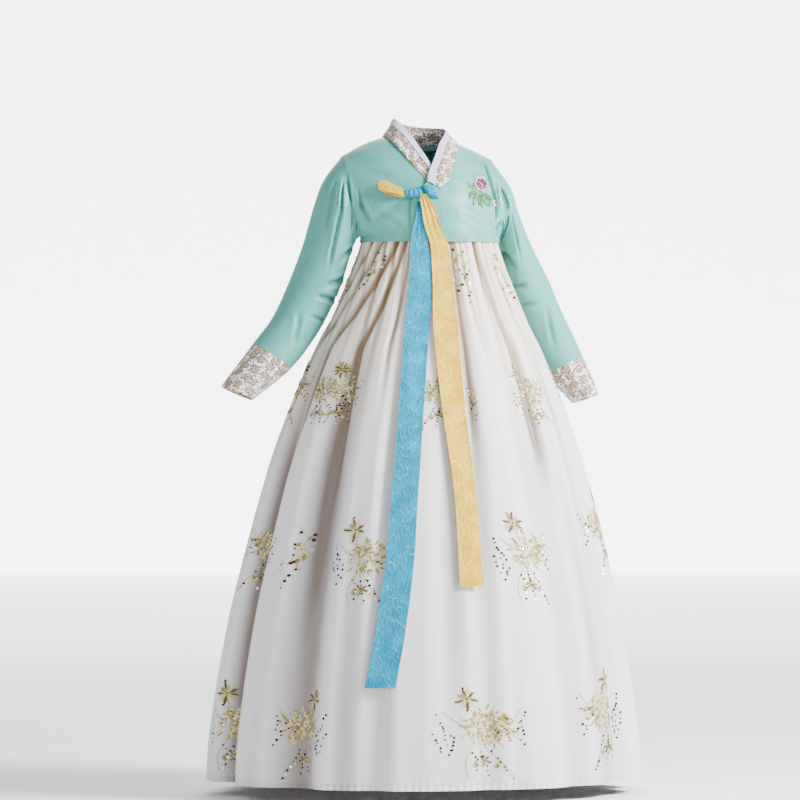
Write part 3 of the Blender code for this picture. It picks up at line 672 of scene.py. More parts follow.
SLEEVE_CREASES = {
    -1: table(
        "turn0 station0 turn1 station1 half depth",
        (60, 0.2, 84, 1.7, 0.0080, 0.0050),
        (100, 0.1, 120, 1.5, 0.0070, 0.0060),
        (130, 0.2, 150, 1.8, 0.0080, 0.0050),
        (75, 1.2, 96, 3.2, 0.0090, 0.0036),
        (40, 0.6, 60, 2.6, 0.0110, 0.0030),
        (165, 1.6, 110, 2.8, 0.0100, 0.0046),
        (170, 2.6, 100, 3.5, 0.0110, 0.0050),
        (180, 3.4, 84, 3.9, 0.0120, 0.0046),
        (176, 4.3, 96, 4.5, 0.0110, 0.0034),
        (70, 4.4, 110, 5.6, 0.0120, 0.0026),
        (240, 0.4, 250, 2.0, 0.0090, 0.0050),
        (280, 0.3, 285, 1.8, 0.0100, 0.0040),
        (200, 2.0, 262, 3.1, 0.0110, 0.0046),
        (195, 3.2, 275, 3.8, 0.0120, 0.0044),
        (300, 3.4, 260, 5.2, 0.0120, 0.0026),
    ),
    1: table(
        "turn0 station0 turn1 station1 half depth",
        (68, 0.15, 92, 0.95, 0.0070, 0.0060),
        (92, 0.9, 166, 1.35, 0.0065, 0.0075),
        (120, 0.2, 150, 1.0, 0.0070, 0.0050),
        (84, 1.0, 96, 2.9, 0.0100, 0.0034),
        (44, 0.5, 60, 2.4, 0.0110, 0.0030),
        (168, 1.8, 112, 2.9, 0.0100, 0.0040),
        (172, 2.9, 96, 3.6, 0.0120, 0.0044),
        (180, 3.7, 90, 4.2, 0.0120, 0.0036),
        (70, 4.3, 104, 5.6, 0.0120, 0.0024),
        (236, 0.4, 250, 1.9, 0.0090, 0.0050),
        (280, 0.3, 288, 1.9, 0.0100, 0.0040),
        (198, 2.1, 262, 3.2, 0.0110, 0.0044),
        (192, 3.4, 272, 3.9, 0.0120, 0.0042),
        (300, 3.2, 262, 5.0, 0.0120, 0.0026),
    ),
}
TURN_LENGTH, STATION_LENGTH = 0.00105, 0.088
CREASE_RIM, CREASE_TAPER = 0.35, 3.2
FRONT_WAVE, BACK_WAVE, SLEEVE_WAVE = 0.0007, 0.0012, 0.0009
SLEEVE_DEEPER = 1.35


def crease_lines(s, t, rows):
    """Soft troughs along straight lines, deepest in their middle and gone at their ends."""
    depth = np.zeros(np.broadcast(s, t).shape)
    for s0, t0, s1, t1, half, deep in zip(*rows):
        long = np.hypot(s1 - s0, t1 - t0)
        along = ((s - s0) * (s1 - s0) + (t - t0) * (t1 - t0)) / long**2
        across = ((s - s0) * (t1 - t0) - (t - t0) * (s1 - s0)) / long
        trough = bump(across / half) - CREASE_RIM * bump((np.abs(across) - half) / half)
        depth = depth + deep * trough * smooth(along * CREASE_TAPER) * smooth((1 - along) * CREASE_TAPER)
    return depth


def front_crease(side, x, row):
    """How far the front's creases draw the cloth in."""
    place = body_point(x, row)
    rows = list(FRONT_CREASES[side].values())
    front = smooth((RIDGE_ROW - row) / 1.0)
    soft = FRONT_WAVE * np.sin(x * 70 + place[..., 2] * 50) * np.sin(place[..., 2] * 60 + 1)
    behind = BACK_WAVE * np.sin(x * 46 + 1) * np.sin(place[..., 2] * 38)
    return crease_lines(x, place[..., 2], rows) * front + soft * front + behind * (1 - front)


def jacket_fine(side):
    base = jacket_half(side)

    def surface(u, row):
        at = base(u, row)
        normal = tangents(base, u, row, 1e-3, 1e-3)[2] * side
        keep = smooth(u / 0.08) * smooth((1 - u) / 0.02) * smooth(np.minimum(row, LAST_ROW - row) / 0.6)
        depth = front_crease(side, at[..., 0], row) * keep
        return at - normal * depth[..., None]

    return surface


def sleeve_crease(side, turn, station):
    """How far the sleeve's creases draw the cloth in."""
    turn0, station0, turn1, station1, half, deep = SLEEVE_CREASES[side].values()
    rows = (turn0 * TURN_LENGTH, station0 * STATION_LENGTH, turn1 * TURN_LENGTH,
            station1 * STATION_LENGTH, half, deep)
    return crease_lines(turn * TURN_LENGTH, station * STATION_LENGTH, rows)


def sleeve_fine(side):
    base = sleeve(side)

    def surface(turn, station):
        turn, station = np.broadcast_arrays(turn % 360, station)
        at = base(turn, station)
        normal = tangents(base, turn, station, 0.5, 1e-3)[2] * side
        depth = sleeve_crease(side, turn, station)
        keep = smooth((CUFF_STATION - station) / 0.12) * smooth(station / 0.10)
        soft = SLEEVE_WAVE * np.sin(np.radians(turn * 3 + station * 60)) * np.sin(station * 2.1 + 0.6)
        return at - normal * ((SLEEVE_DEEPER * depth + soft) * keep)[..., None]

    return surface


# Finer ties.

GATHER_LOW, GATHER_RISE = 1.16, 0.12
GATHER_DEPTH, ROLL_DEPTH, EDGE_DEPTH = 0.0011, 0.0016, 0.0008
TAIL_END = 0.05


def tail_fine(rows, phase):
    base = tail_surface(rows)
    low = rows["height"][0]

    def surface(u, height):
        at = base(u, height)
        top = smooth((height - GATHER_LOW) / GATHER_RISE)
        gathers = GATHER_DEPTH * np.sin(u * 17 + phase) * top
        loose = smooth((height - low) / TAIL_END)
        roll = ROLL_DEPTH * np.sin(u * 4.2 + height * 7 + phase) * (1 - top) * loose
        edge = EDGE_DEPTH * (np.abs(2 * u - 1) ** 8)
        at[..., 1] -= gathers + roll * 0.6 + edge
        return at

    return surface


# Materials.


class Material:
    """A node material, with short calls for the nodes that it is made of."""

    def __init__(self, name, roughness, **values):
        self.item = bpy.data.materials.new(name)
        self.item.use_nodes = True
        self.tree = self.item.node_tree
        self.shader = self.tree.nodes["Principled BSDF"]
        self.shader.inputs["Roughness"].default_value = roughness
        for key, value in values.items():
            self.shader.inputs[key.replace("_", " ")].default_value = value
        self.uv = self.node("UVMap", uv_map="cloth").outputs["UV"]

    def put(self, socket, value):
        if isinstance(value, bpy.types.NodeSocket):
            self.tree.links.new(value, socket)
        else:
            socket.default_value = value

    def node(self, kind, inputs=None, **settings):
        """A new node with its settings, and a value or another node's output for each input."""
        node = self.tree.nodes.new("ShaderNode" + kind)
        for key, value in settings.items():
            setattr(node, key, value)
        for key, value in (inputs or {}).items():
            self.put(node.inputs[key], value)
        return node

    def place(self):
        return self.node("TexCoord").outputs["Object"]

    # The painted shade attribute: for each point, how far the cloth's colour is darkened where folds and
    # creases draw it in.
    def tone(self):
        return self.node("Attribute", attribute_name="tone").outputs["Fac"]

    def maths(self, operation, first, second=0.0):
        return self.node("Math", {0: first, 1: second}, operation=operation).outputs[0]

    def stretched(self, scale, source=None):
        return self.node("Mapping", {"Scale": scale, "Vector": source or self.uv}).outputs[0]

    def noise(self, vector, scale, detail=2.0):
        return self.node("TexNoise", {"Vector": vector, "Scale": scale, "Detail": detail}).outputs["Fac"]

    def warped(self, vector, scale, amount):
        shift = self.node("TexNoise", {"Vector": vector, "Scale": scale}).outputs["Color"]
        inputs = {0: shift, 1: (amount, amount, amount), 2: vector}
        return self.node("VectorMath", inputs, operation="MULTIPLY_ADD").outputs[0]

    def cells(self, vector, scale, feature="F1", jitter=1.0):
        inputs = {"Vector": vector, "Scale": scale, "Randomness": jitter}
        return self.node("TexVoronoi", inputs, voronoi_dimensions="2D", feature=feature).outputs

    def ramp(self, value, *stops):
        node = self.node("ValToRGB", {0: value})
        elements = node.color_ramp.elements
        while len(elements) < len(stops):
            elements.new(0.5)
        for element, (place, colour) in zip(elements, stops):
            element.position, element.color = place, (*colour, 1)
        return node.outputs[0]

    def span(self, value, low, high, most=1.0):
        """An even rise from 0 to the most, between two values."""
        inputs = {"Value": value, "From Min": low, "From Max": high, "To Max": most}
        return self.node("MapRange", inputs, interpolation_type="SMOOTHSTEP").outputs[0]

    def mix(self, factor, first, second):
        ends = [c if isinstance(c, bpy.types.NodeSocket) else (*c, 1) for c in (first, second)]
        return self.node("Mix", {0: factor, 6: ends[0], 7: ends[1]}, data_type="RGBA").outputs[2]

    def colour(self, value):
        self.put(self.shader.inputs["Base Color"], value)

    def bumps(self, height, distance, strength=1.0):
        """Bumps on top of those that the material already has."""
        node = self.node("Bump", {"Height": height, "Distance": distance, "Strength": strength})
        normal = self.shader.inputs["Normal"]
        if normal.is_linked:
            self.put(node.inputs["Normal"], normal.links[0].from_socket)
        self.put(normal, node.outputs[0])

    def weave(self, threads, distance=0.0001, strength=0.4):
        """The fine grain of cloth with so many threads a metre."""
        self.bumps(self.noise(self.stretched((threads, threads, 1)), 1.0, 1.0), distance, strength)


def satin():
    cloth = Material("mint_satin", 0.44, Sheen_Weight=0.06, Sheen_Roughness=0.35, Specular_IOR_Level=0.35)
    broad = cloth.noise(cloth.uv, 9.0, 3.0)
    colour = cloth.mix(cloth.span(broad, 0.3, 0.7), (0.064, 0.290, 0.256), (0.080, 0.330, 0.292))
    slubs = cloth.noise(cloth.stretched((900, 60, 1)), 1.0, 2.0)
    colour = cloth.mix(cloth.span(slubs, 0.35, 0.75), colour, (0.098, 0.366, 0.326))
    # Painted shade: the teal darkens towards a deep green-teal where the creases draw the cloth in.
    cloth.colour(cloth.mix(cloth.maths("MULTIPLY", cloth.tone(), 0.85), colour, (0.008, 0.080, 0.062)))
    cloth.weave(1600)
    cloth.bumps(cloth.noise(cloth.stretched((40, 14, 1)), 1.0, 2.0), 0.0012, 0.35)
    return cloth.item


def brocade():
    """A white ground with round gold-brown blossoms, outlined in dark thread, and small leaves."""
    cloth = Material("brocade", 0.42, Sheen_Weight=0.08, Specular_IOR_Level=0.5)
    ground = cloth.mix(cloth.noise(cloth.uv, 60.0, 2.0), (0.80, 0.74, 0.82), (0.88, 0.82, 0.86))
    place = cloth.warped(cloth.uv, 70.0, 0.006)
    cell = cloth.cells(place, 42.0, jitter=0.55)
    offset = cloth.node("VectorMath", {0: place, 1: cell["Position"]}, operation="SUBTRACT")
    parts = cloth.node("SeparateXYZ", {0: offset.outputs[0]}).outputs
    angle = cloth.maths("ARCTAN2", parts[1], parts[0])
    petals = cloth.maths("ABSOLUTE", cloth.maths("SINE", cloth.maths("MULTIPLY", angle, 3.0)))
    rim = cloth.maths("ADD", 0.33, cloth.maths("MULTIPLY", petals, 0.10))
    share = cloth.maths("DIVIDE", cell["Distance"], rim)
    flower = cloth.ramp(
        share, (0.0, (0.30, 0.18, 0.06)), (0.20, (0.10, 0.06, 0.03)), (0.30, (0.34, 0.22, 0.08)),
        (0.56, (0.26, 0.165, 0.06)), (0.64, (0.07, 0.05, 0.035)), (0.74, (0.36, 0.26, 0.12)),
        (0.82, (0.025, 0.022, 0.026)), (1.0, (0.03, 0.028, 0.034)),
    )
    inside = cloth.maths("SUBTRACT", 1.0, cloth.span(share, 0.97, 1.05))
    veins = cloth.noise(cloth.stretched((330, 330, 1)), 1.0, 2.0)
    flower = cloth.mix(cloth.span(veins, 0.54, 0.62), flower, (0.72, 0.64, 0.58))
    scroll = cloth.cells(cloth.warped(cloth.uv, 150.0, 0.006), 120.0, "DISTANCE_TO_EDGE")["Distance"]
    line = cloth.maths("SUBTRACT", 1.0, cloth.span(scroll, 0.08, 0.20))
    line = cloth.maths("MULTIPLY", line, cloth.span(cloth.noise(cloth.uv, 110.0, 1.0), 0.42, 0.52))
    leaves = cloth.mix(line, ground, (0.050, 0.042, 0.052))
    gold = cloth.span(cloth.noise(cloth.uv, 120.0, 1.0), 0.58, 0.64)
    leaves = cloth.mix(gold, leaves, (0.34, 0.22, 0.08))
    cloth.colour(cloth.mix(inside, leaves, flower))
    cloth.bumps(cloth.maths("ADD", inside, line), 0.0003, 0.6)
    cloth.weave(1500, strength=0.5)
    return cloth.item


def white_strip():
    cloth = Material("white_strip", 0.5)
    cloth.colour(cloth.mix(cloth.noise(cloth.uv, 40.0, 2.0), (0.52, 0.50, 0.70), (0.60, 0.585, 0.77)))
    cloth.weave(1800, 0.00008, 0.5)
    return cloth.item


def ribbon(name, deep, middle, light):
    """Thin satin with a crackled relief that catches the light along its ridges."""
    cloth = Material(name, 0.36, Specular_IOR_Level=0.12)
    bent = cloth.warped(cloth.uv, 45.0, 0.016)
    long = cloth.stretched((1.0, 0.36, 1.0), bent)
    crackle = cloth.cells(long, 150.0, "DISTANCE_TO_EDGE")["Distance"]
    curls = cloth.cells(cloth.warped(cloth.uv, 120.0, 0.006), 70.0, "SMOOTH_F1")["Distance"]
    ridge = cloth.maths("SUBTRACT", 1.0, cloth.span(crackle, 0.01, 0.13))
    patchy = cloth.span(cloth.noise(cloth.uv, 30.0, 2.0), 0.42, 0.62)
    lines = cloth.maths("MULTIPLY", ridge, patchy)
    base = cloth.mix(cloth.span(cloth.noise(cloth.uv, 22.0, 3.0), 0.3, 0.7), deep, middle)
    # Painted highlight: the colour is lighter along the crackle's ridges, where the relief catches the
    # light.
    cloth.colour(cloth.mix(cloth.maths("MULTIPLY", lines, 0.7), base, light))
    cloth.bumps(cloth.maths("ADD", ridge, cloth.maths("MULTIPLY", curls, 0.6)), 0.0016, 0.9)
    cloth.weave(1500)
    return cloth.item


def organza():
    """Ivory organza over satin: cool where it stands out, with painted shade in the folds, warmer and
    darker there; both colours warmer towards the waist.
    """
    cloth = Material("ivory_organza", 0.46, Sheen_Weight=0.12, Sheen_Roughness=0.3, Specular_IOR_Level=0.4)
    height = cloth.node("SeparateXYZ", {0: cloth.place()}).outputs[2]
    high = cloth.span(height, -0.80, -0.22)
    deep = cloth.mix(high, (0.175, 0.140, 0.125), (0.250, 0.152, 0.066))
    lit = cloth.mix(high, (0.74, 0.72, 0.745), (0.73, 0.645, 0.540))
    # Painted shade: the colour goes from the lit ivory to the darker shade colour by the painted shade
    # attribute, in folds, creases and pleats.
    cloth.colour(cloth.mix(cloth.tone(), lit, deep))
    cloth.weave(1400)
    cloth.bumps(cloth.noise(cloth.stretched((50, 6, 1)), 1.0, 3.0), 0.0020, 0.5)
    return cloth.item


def thread(name, dark, light, roughness=0.4):
    cloth = Material(name, roughness, Specular_IOR_Level=0.3)
    place = cloth.place()
    cloth.colour(cloth.mix(cloth.span(cloth.noise(place, 700.0, 2.0), 0.3, 0.7), dark, light))
    cloth.bumps(cloth.noise(place, 1500.0, 1.0), 0.0003, 0.8)
    return cloth.item


def sequin(name, colour, roughness):
    cloth = Material(name, roughness, Metallic=0.85)
    place = cloth.place()
    bright = tuple(min(1.0, c * 1.5) for c in colour)
    cloth.colour(cloth.mix(cloth.span(cloth.noise(place, 400.0, 1.0), 0.35, 0.65), colour, bright))
    return cloth.item


# Meshes that ride on the frame.


def add_piece(name, verts, faces, materials, uv=None, tone=None, marks=None, replaces=()):
    """A shown mesh that rides on the frame and stands for the named solids."""
    verts = np.array(verts, float).reshape(-1, 3)
    verts[:, 2] -= SHOULDER_HEIGHT
    mesh = bpy.data.meshes.new(name)
    mesh.from_pydata(verts.tolist(), [], faces)
    if uv is not None:
        mesh.uv_layers.new(name="cloth").data.foreach_set("uv", np.asarray(uv, float).ravel())
    # Painted shade: a darkening for each point by fold and crease depth, stored on the mesh for its
    # material.
    if tone is not None:
        mesh.attributes.new("tone", "FLOAT", "POINT").data.foreach_set("value", np.ravel(tone))
    for item in materials:
        mesh.materials.append(item)
    if marks is not None:
        mesh.polygons.foreach_set("material_index", np.asarray(marks, np.int32))
    mesh.shade_smooth()
    if marks is None:
        mesh.set_sharp_from_angle(angle=1.0)
    piece = bpy.data.objects.new(name, mesh)
    bpy.context.collection.objects.link(piece)
    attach(piece, "root")
    if replaces:
        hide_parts(*replaces)
    return piece


def add_shell(name, outer, inner, material, closed=False, tone=None, replaces=()):
    """A thin closed wall between two grids of points, with cloth lengths in metres as its UV map."""
    columns, rows = outer.shape[:2]
    count = columns * rows
    spans = columns if closed else columns - 1
    ring = np.concatenate([outer, outer[:1]]) if closed else outer
    u_length = np.append(0, np.cumsum(np.linalg.norm(np.diff(ring[:, rows // 2], axis=0), axis=1)))
    v_length = np.append(0, np.cumsum(np.linalg.norm(np.diff(outer[columns // 3], axis=0), axis=1)))
    i, k = np.meshgrid(np.arange(spans), np.arange(rows - 1), indexing="ij")
    i, k = i.ravel(), k.ravel()
    j = (i + 1) % columns
    a, b, c, d = i * rows + k, j * rows + k, j * rows + k + 1, i * rows + k + 1
    places = [(u_length[i], v_length[k]), (u_length[i + 1], v_length[k]),
              (u_length[i + 1], v_length[k + 1]), (u_length[i], v_length[k + 1])]
    places = np.array(places).transpose(2, 0, 1)
    faces = [np.stack([a, b, c, d], 1), np.stack([a, d, c, b], 1) + count]
    uv = [places, places[:, [0, 3, 2, 1]]]

    def close(low, high, turned, along_u, along_v):
        """Faces over the wall's edge, from its outer side to its inner one."""
        order = [low, high, high + count, low + count] if turned else [low, low + count, high + count, high]
        faces.append(np.stack(order, 1))
        uv.append(np.repeat(np.stack([along_u, along_v], 1)[:, None], 4, axis=1))

    span, step = np.arange(spans), np.arange(rows - 1)
    for k in (0, rows - 1):
        across = np.full(spans, v_length[k])
        close(span * rows + k, (span + 1) % columns * rows + k, k > 0, u_length[span], across)
    for i in () if closed else (0, columns - 1):
        close(i * rows + step, i * rows + step + 1, i == 0, np.full(rows - 1, u_length[i]), v_length[step])
    faces, uv = np.concatenate(faces), np.concatenate(uv)
    verts = np.concatenate([outer.reshape(-1, 3), inner.reshape(-1, 3)])
    corners = verts[faces] - verts.mean(0)
    volume = (corners[:, 0] * np.cross(corners[:, 1], corners[:, 2])).sum()
    volume += (corners[:, 0] * np.cross(corners[:, 2], corners[:, 3])).sum()
    if volume < 0:
        faces, uv = faces[:, ::-1], uv[:, ::-1]
    painted_shades = None if tone is None else np.concatenate([tone.ravel(), tone.ravel()])
    return add_piece(name, verts, faces.tolist(), [material], uv, painted_shades, replaces=replaces)


def cloth_shell(name, surface, us, vs, material, slot, thick, out=1, closed=False, trim=0.0,
                steps=(1e-3, 1e-3), tone=None, replaces=()):
    """A shell inside a surface that is given by two numbers."""
    u, v = np.meshgrid(np.asarray(us, float), np.asarray(vs, float), indexing="ij")
    outer = surface(u, v)
    along, _, normal = tangents(surface, u, v, *steps)
    if trim:
        outer[0] += along[0] * trim
        outer[-1] -= along[-1] * trim
    shade = tone(u, v) if tone else None
    inner = outer - normal * out * thick
    return add_shell(name, outer, inner, material, closed, shade, replaces)


def over_solid(node, *values, **options):
    """A shell that is shown in place of the solid of that name."""
    return cloth_shell("cloth_" + node, *values, replaces=(node,), **options)


# Embroidery: flat stitches and sequins, laid out on the cloth in their own two directions.


class Stitches:
    """Faces of embroidery, as places (right, up, out) in metres and a material for each face."""

    def __init__(self):
        self.verts, self.faces, self.marks = [], [], []

    def add(self, verts, faces, mark):
        start = sum(len(v) for v in self.verts)
        self.verts.append(np.array(verts, float))
        self.faces += [tuple(start + i for i in face) for face in faces]
        self.marks += [mark] * len(faces)

    def disc(self, x, y, radius, mark, out=0.0007, sides=8, dome=0.0006, tilt=(0.0, 0.0)):
        a = np.arange(sides) * 2 * np.pi / sides
        rim = np.stack([radius * np.cos(a), radius * np.sin(a)], 1)
        lean = rim @ np.array(tilt)
        verts = [(x, y, out + dome), *np.column_stack([rim + (x, y), out + lean])]
        self.add(verts, [(0, i + 1, (i + 1) % sides + 1) for i in range(sides)], mark)

    def petal(self, x, y, angle, length, width, mark, out=0.0006, blunt=1.0, curl=0.0):
        t = np.linspace(0, 1, 7)
        side = width / 2 * np.sin(np.pi * t) ** blunt
        bend = curl * t * t
        rows = []
        for across, high in ((-1, 0.0), (0, 0.0005), (1, 0.0)):
            along, off = length * t, across * side + bend
            rows.append(np.stack([x + along * np.cos(angle) - off * np.sin(angle),
                                  y + along * np.sin(angle) + off * np.cos(angle),
                                  out + high + 0 * t], 1))
        faces = [(r * 7 + i, r * 7 + i + 1, r * 7 + i + 8, r * 7 + i + 7) for r in (0, 1) for i in range(6)]
        self.add(np.concatenate(rows), faces, mark)

    def stem(self, path, width, mark, out=0.0005):
        path = np.array(path, float)
        t = np.linspace(0, len(path) - 1, 4 * (len(path) - 1) + 1)
        line = spline(path, t)
        way = unit(np.gradient(line, axis=0))
        across = np.stack([-way[:, 1], way[:, 0]], 1) * width / 2
        low, high = line - across, line + across
        count = len(line)
        verts = [np.column_stack([side, np.full(count, out + rise)])
                 for side, rise in ((low, 0.0), (line, 0.0004), (high, 0.0))]
        faces = [(r * count + i, r * count + i + 1, (r + 1) * count + i + 1, (r + 1) * count + i)
                 for r in (0, 1) for i in range(count - 1)]
        self.add(np.concatenate(verts), faces, mark)

    def placed(self, where, mirror, scale, turn, into):
        """The same stitches at a place on the skirt, added to another set as (angle, height, out)."""
        angle, height = where
        half_width, half_depth, _ = ring_at(height)
        a = np.radians(angle)
        reach = np.hypot(half_width * np.cos(a), half_depth * np.sin(a))
        verts = np.concatenate(self.verts)
        x, y = verts[:, 0] * mirror * scale, verts[:, 1] * scale
        right, up = x * np.cos(turn) - y * np.sin(turn), x * np.sin(turn) + y * np.cos(turn)
        start = sum(len(v) for v in into.verts)
        into.verts.append(np.stack([angle + np.degrees(right / reach), height + up, verts[:, 2]], 1))
        order = 1 if mirror > 0 else -1
        into.faces += [tuple(start + i for i in face[::order]) for face in self.faces]
        into.marks += self.marks


PALE, GOLD, DARK_THREAD = 0, 1, 2
DARK, BRONZE, SILVER = 0, 1, 2
BEAD_RADIUS, BEAD = 0.0010, dict(out=0.0008, sides=5, dome=0.0003)
SEQUIN_RADIUS = 0.0026
SPRAY_SPACING, SPRINKLE_SPACING = 0.0105, 0.0125


def ray(x, y, angle, reach, high=None):
    """A place at some reach from another one, round a circle or an upright oval."""
    return x + reach * np.cos(angle), y + (reach if high is None else high) * np.sin(angle)


def blossom(stitches, x, y, radius, random):
    start = random.uniform(0, 6.28)
    for i in range(5):
        a = start + i * 2 * np.pi / 5
        stitches.disc(*ray(x, y, a, radius * 0.55), radius * 0.5, PALE if random.random() < 0.62 else GOLD,
                      sides=6, out=random.uniform(0.0006, 0.0012))
    stitches.disc(x, y, radius * 0.24, DARK_THREAD, out=0.0018, sides=5)


def star(stitches, glints, x, y, size, random, petals=9):
    """A flower of narrow pointed petals, some of them with dark tips and sequins."""
    start = random.uniform(0, 0.6)
    for i in range(petals):
        a = start + i * 2 * np.pi / petals + random.uniform(-0.12, 0.12)
        long = size * random.uniform(0.75, 1.1)
        stitches.petal(x, y, a, long, size * 0.30, GOLD if i % 3 == 0 else PALE, curl=size * 0.06)
        if i % 2 == 0:
            stitches.petal(*ray(x, y, a, 0.2 * long), a + 0.1, 0.85 * long, size * 0.17, DARK_THREAD,
                           out=0.0012)
            glints.disc(*ray(x, y, a, 0.95 * long), 0.0023, DARK if i % 4 else BRONZE, out=0.0018)
        stitches.stem([ray(x, y, a + 0.35, share * size) for share in (0.2, 0.7)], 0.0009, GOLD, out=0.0014)
    glints.disc(x, y, 0.0028, BRONZE, out=0.0019)


def string(glints, path, spacing, radius, random, marks=(DARK, DARK, BRONZE, DARK, SILVER)):
    """Sequins along a curve, not quite evenly spaced."""
    path = np.array(path, float)
    t = np.linspace(0, len(path) - 1, 60)
    line = spline(path, t)
    run = np.append(0, np.cumsum(np.linalg.norm(np.diff(line, axis=0), axis=1)))
    for at in np.arange(0, run[-1], spacing):
        at = at + random.uniform(-0.25, 0.25) * spacing
        x, y = np.interp(at, run, line[:, 0]), np.interp(at, run, line[:, 1])
        x, y = x + random.normal(0, 0.0012), y + random.normal(0, 0.0012)
        glints.disc(x, y, radius * random.uniform(0.75, 1.15), marks[random.integers(len(marks))],
                    out=0.0012, tilt=random.normal(0, 0.12, 2))


def bunch(stitches, glints, x, y, wide, high, count, random):
    """Blossoms crowded in an oval, with pointed leaves and loose stitches round them."""
    for i in range(count):
        a, r = i * 2.4 + random.uniform(-0.3, 0.3), np.sqrt((i + 0.5) / count)
        bx, by = ray(x, y, a, wide * r, high * r)
        blossom(stitches, bx, by, 0.0066 * random.uniform(0.75, 1.3), random)
        if i % 4 == 1:
            glints.disc(bx + 0.004, by - 0.003, 0.0022, SILVER if i % 8 == 1 else DARK, out=0.0020)
    for i in range(26):
        a = i * 2 * np.pi / 26 + random.uniform(-0.1, 0.1)
        r = random.uniform(0.75, 1.1)
        stitches.petal(*ray(x, y, a, wide * r, high * r), a + random.uniform(-0.7, 0.7),
                       random.uniform(0.010, 0.019), 0.0040, GOLD if i % 3 else PALE,
                       curl=random.uniform(-0.004, 0.004))
    for i in range(18):
        a, r = random.uniform(0, 2 * np.pi), random.uniform(0.1, 1.0)
        start = ray(x, y, a, wide * r, high * r)
        way = random.uniform(0, 2 * np.pi)
        middle = ray(*start, way, 0.006)
        stitches.stem([start, (middle[0], middle[1] + 0.002), ray(*start, way, 0.014)], 0.0010,
                      DARK_THREAD if i % 5 == 0 else GOLD, out=0.0016)


# Paths of a motif, as shares of its half width and half height.
SPRAY_STEMS = (
    [(-0.30, 0.55), (-0.15, 0.3), (-0.05, -0.2), (0.05, -0.60)],
    [(-0.05, 0.1), (-0.4, 0.15), (-0.80, 0.40)],
    [(0.1, 0.0), (0.5, 0.05), (0.85, 0.48)],
    [(0.0, -0.2), (0.3, -0.5), (0.62, -0.85)],
    [(-0.1, -0.2), (-0.35, -0.55), (-0.3, -0.9)],
)
SPRAY_STRINGS = (
    [(-0.92, 0.36), (-0.80, 0.12), (-0.55, -0.10)],
    [(-0.80, 0.14), (-0.74, -0.12), (-0.62, -0.36)],
    [(-0.98, -0.02), (-0.86, -0.22), (-0.80, -0.42)],
    [(-0.62, -0.05), (-0.58, -0.25), (-0.70, -0.48)],
    [(0.92, 0.40), (0.84, 0.12), (0.90, -0.16)],
    [(0.76, 0.18), (0.74, -0.08), (0.94, -0.32)],
    [(-0.22, -0.36), (-0.10, -0.60), (-0.20, -0.92)],
    [(0.20, -0.36), (0.38, -0.62), (0.66, -0.98)],
    [(0.00, -0.38), (0.10, -0.66), (0.16, -0.88)],
)
SPRINKLE_STRINGS = (
    [(-0.5, 1), (-0.2, 0.3), (0.6, -0.3), (0.3, -1)],
    [(0.5, 0.9), (0.9, 0.3), (0.2, -0.1), (-0.8, -0.6)],
)


def spray(seed, wide, high):
    """One large motif: a star flower, a bunch of blossoms beside it, sequin strings and stems."""
    random = np.random.default_rng(seed)
    stitches, glints = Stitches(), Stitches()
    x, y = wide / 2, high / 2
    star(stitches, glints, -0.30 * x, 0.66 * y, 0.25 * y, random)
    bunch(stitches, glints, 0.16 * x, 0.10 * y, 0.50 * x, 0.30 * y, int(26 * wide / 0.15), random)
    for path in SPRAY_STEMS:
        stitches.stem(np.array(path) * (x, y), 0.0010, GOLD)
    for path in SPRAY_STRINGS:
        string(glints, np.array(path) * (x, y), SPRAY_SPACING, SEQUIN_RADIUS, random)
    star(stitches, glints, 0.06 * x, -0.56 * y, 0.13 * y, random, petals=7)
    blossom(stitches, -0.16 * x, -0.62 * y, 0.0070, random)
    blossom(stitches, 0.30 * x, -0.66 * y, 0.0060, random)
    for _ in range(70):
        a, r = random.uniform(0, 2 * np.pi), random.uniform(0.15, 1.0) ** 0.7
        mark = SILVER if random.random() < 0.7 else BRONZE
        glints.disc(*ray(0, 0, a, x * r, y * r), BEAD_RADIUS, mark, **BEAD)
    return stitches, glints


def sprinkle(seed, wide, high):
    """A light scatter of sequins with a few leaves, as near the waist."""
    random = np.random.default_rng(seed)
    stitches, glints = Stitches(), Stitches()
    x, y = wide / 2, high / 2
    for path in SPRINKLE_STRINGS:
        string(glints, np.array(path) * (x, y), SPRINKLE_SPACING, SEQUIN_RADIUS, random)
    for i in range(9):
        px, py = random.uniform(-0.8, 0.8) * x, random.uniform(-0.5, 1) * y
        stitches.petal(px, py, random.uniform(3.9, 5.5), random.uniform(0.010, 0.020), 0.0038,
                       GOLD if i % 2 else PALE, curl=random.uniform(-0.003, 0.003))
    for _ in range(4):
        blossom(stitches, random.uniform(-0.7, 0.7) * x, random.uniform(-0.2, 0.9) * y, 0.0055, random)
    for _ in range(40):
        px, py = random.uniform(-1, 1) * x, random.uniform(-1, 1) * y
        glints.disc(px, py, BEAD_RADIUS, SILVER if random.random() < 0.6 else BRONZE, **BEAD)
    return stitches, glints


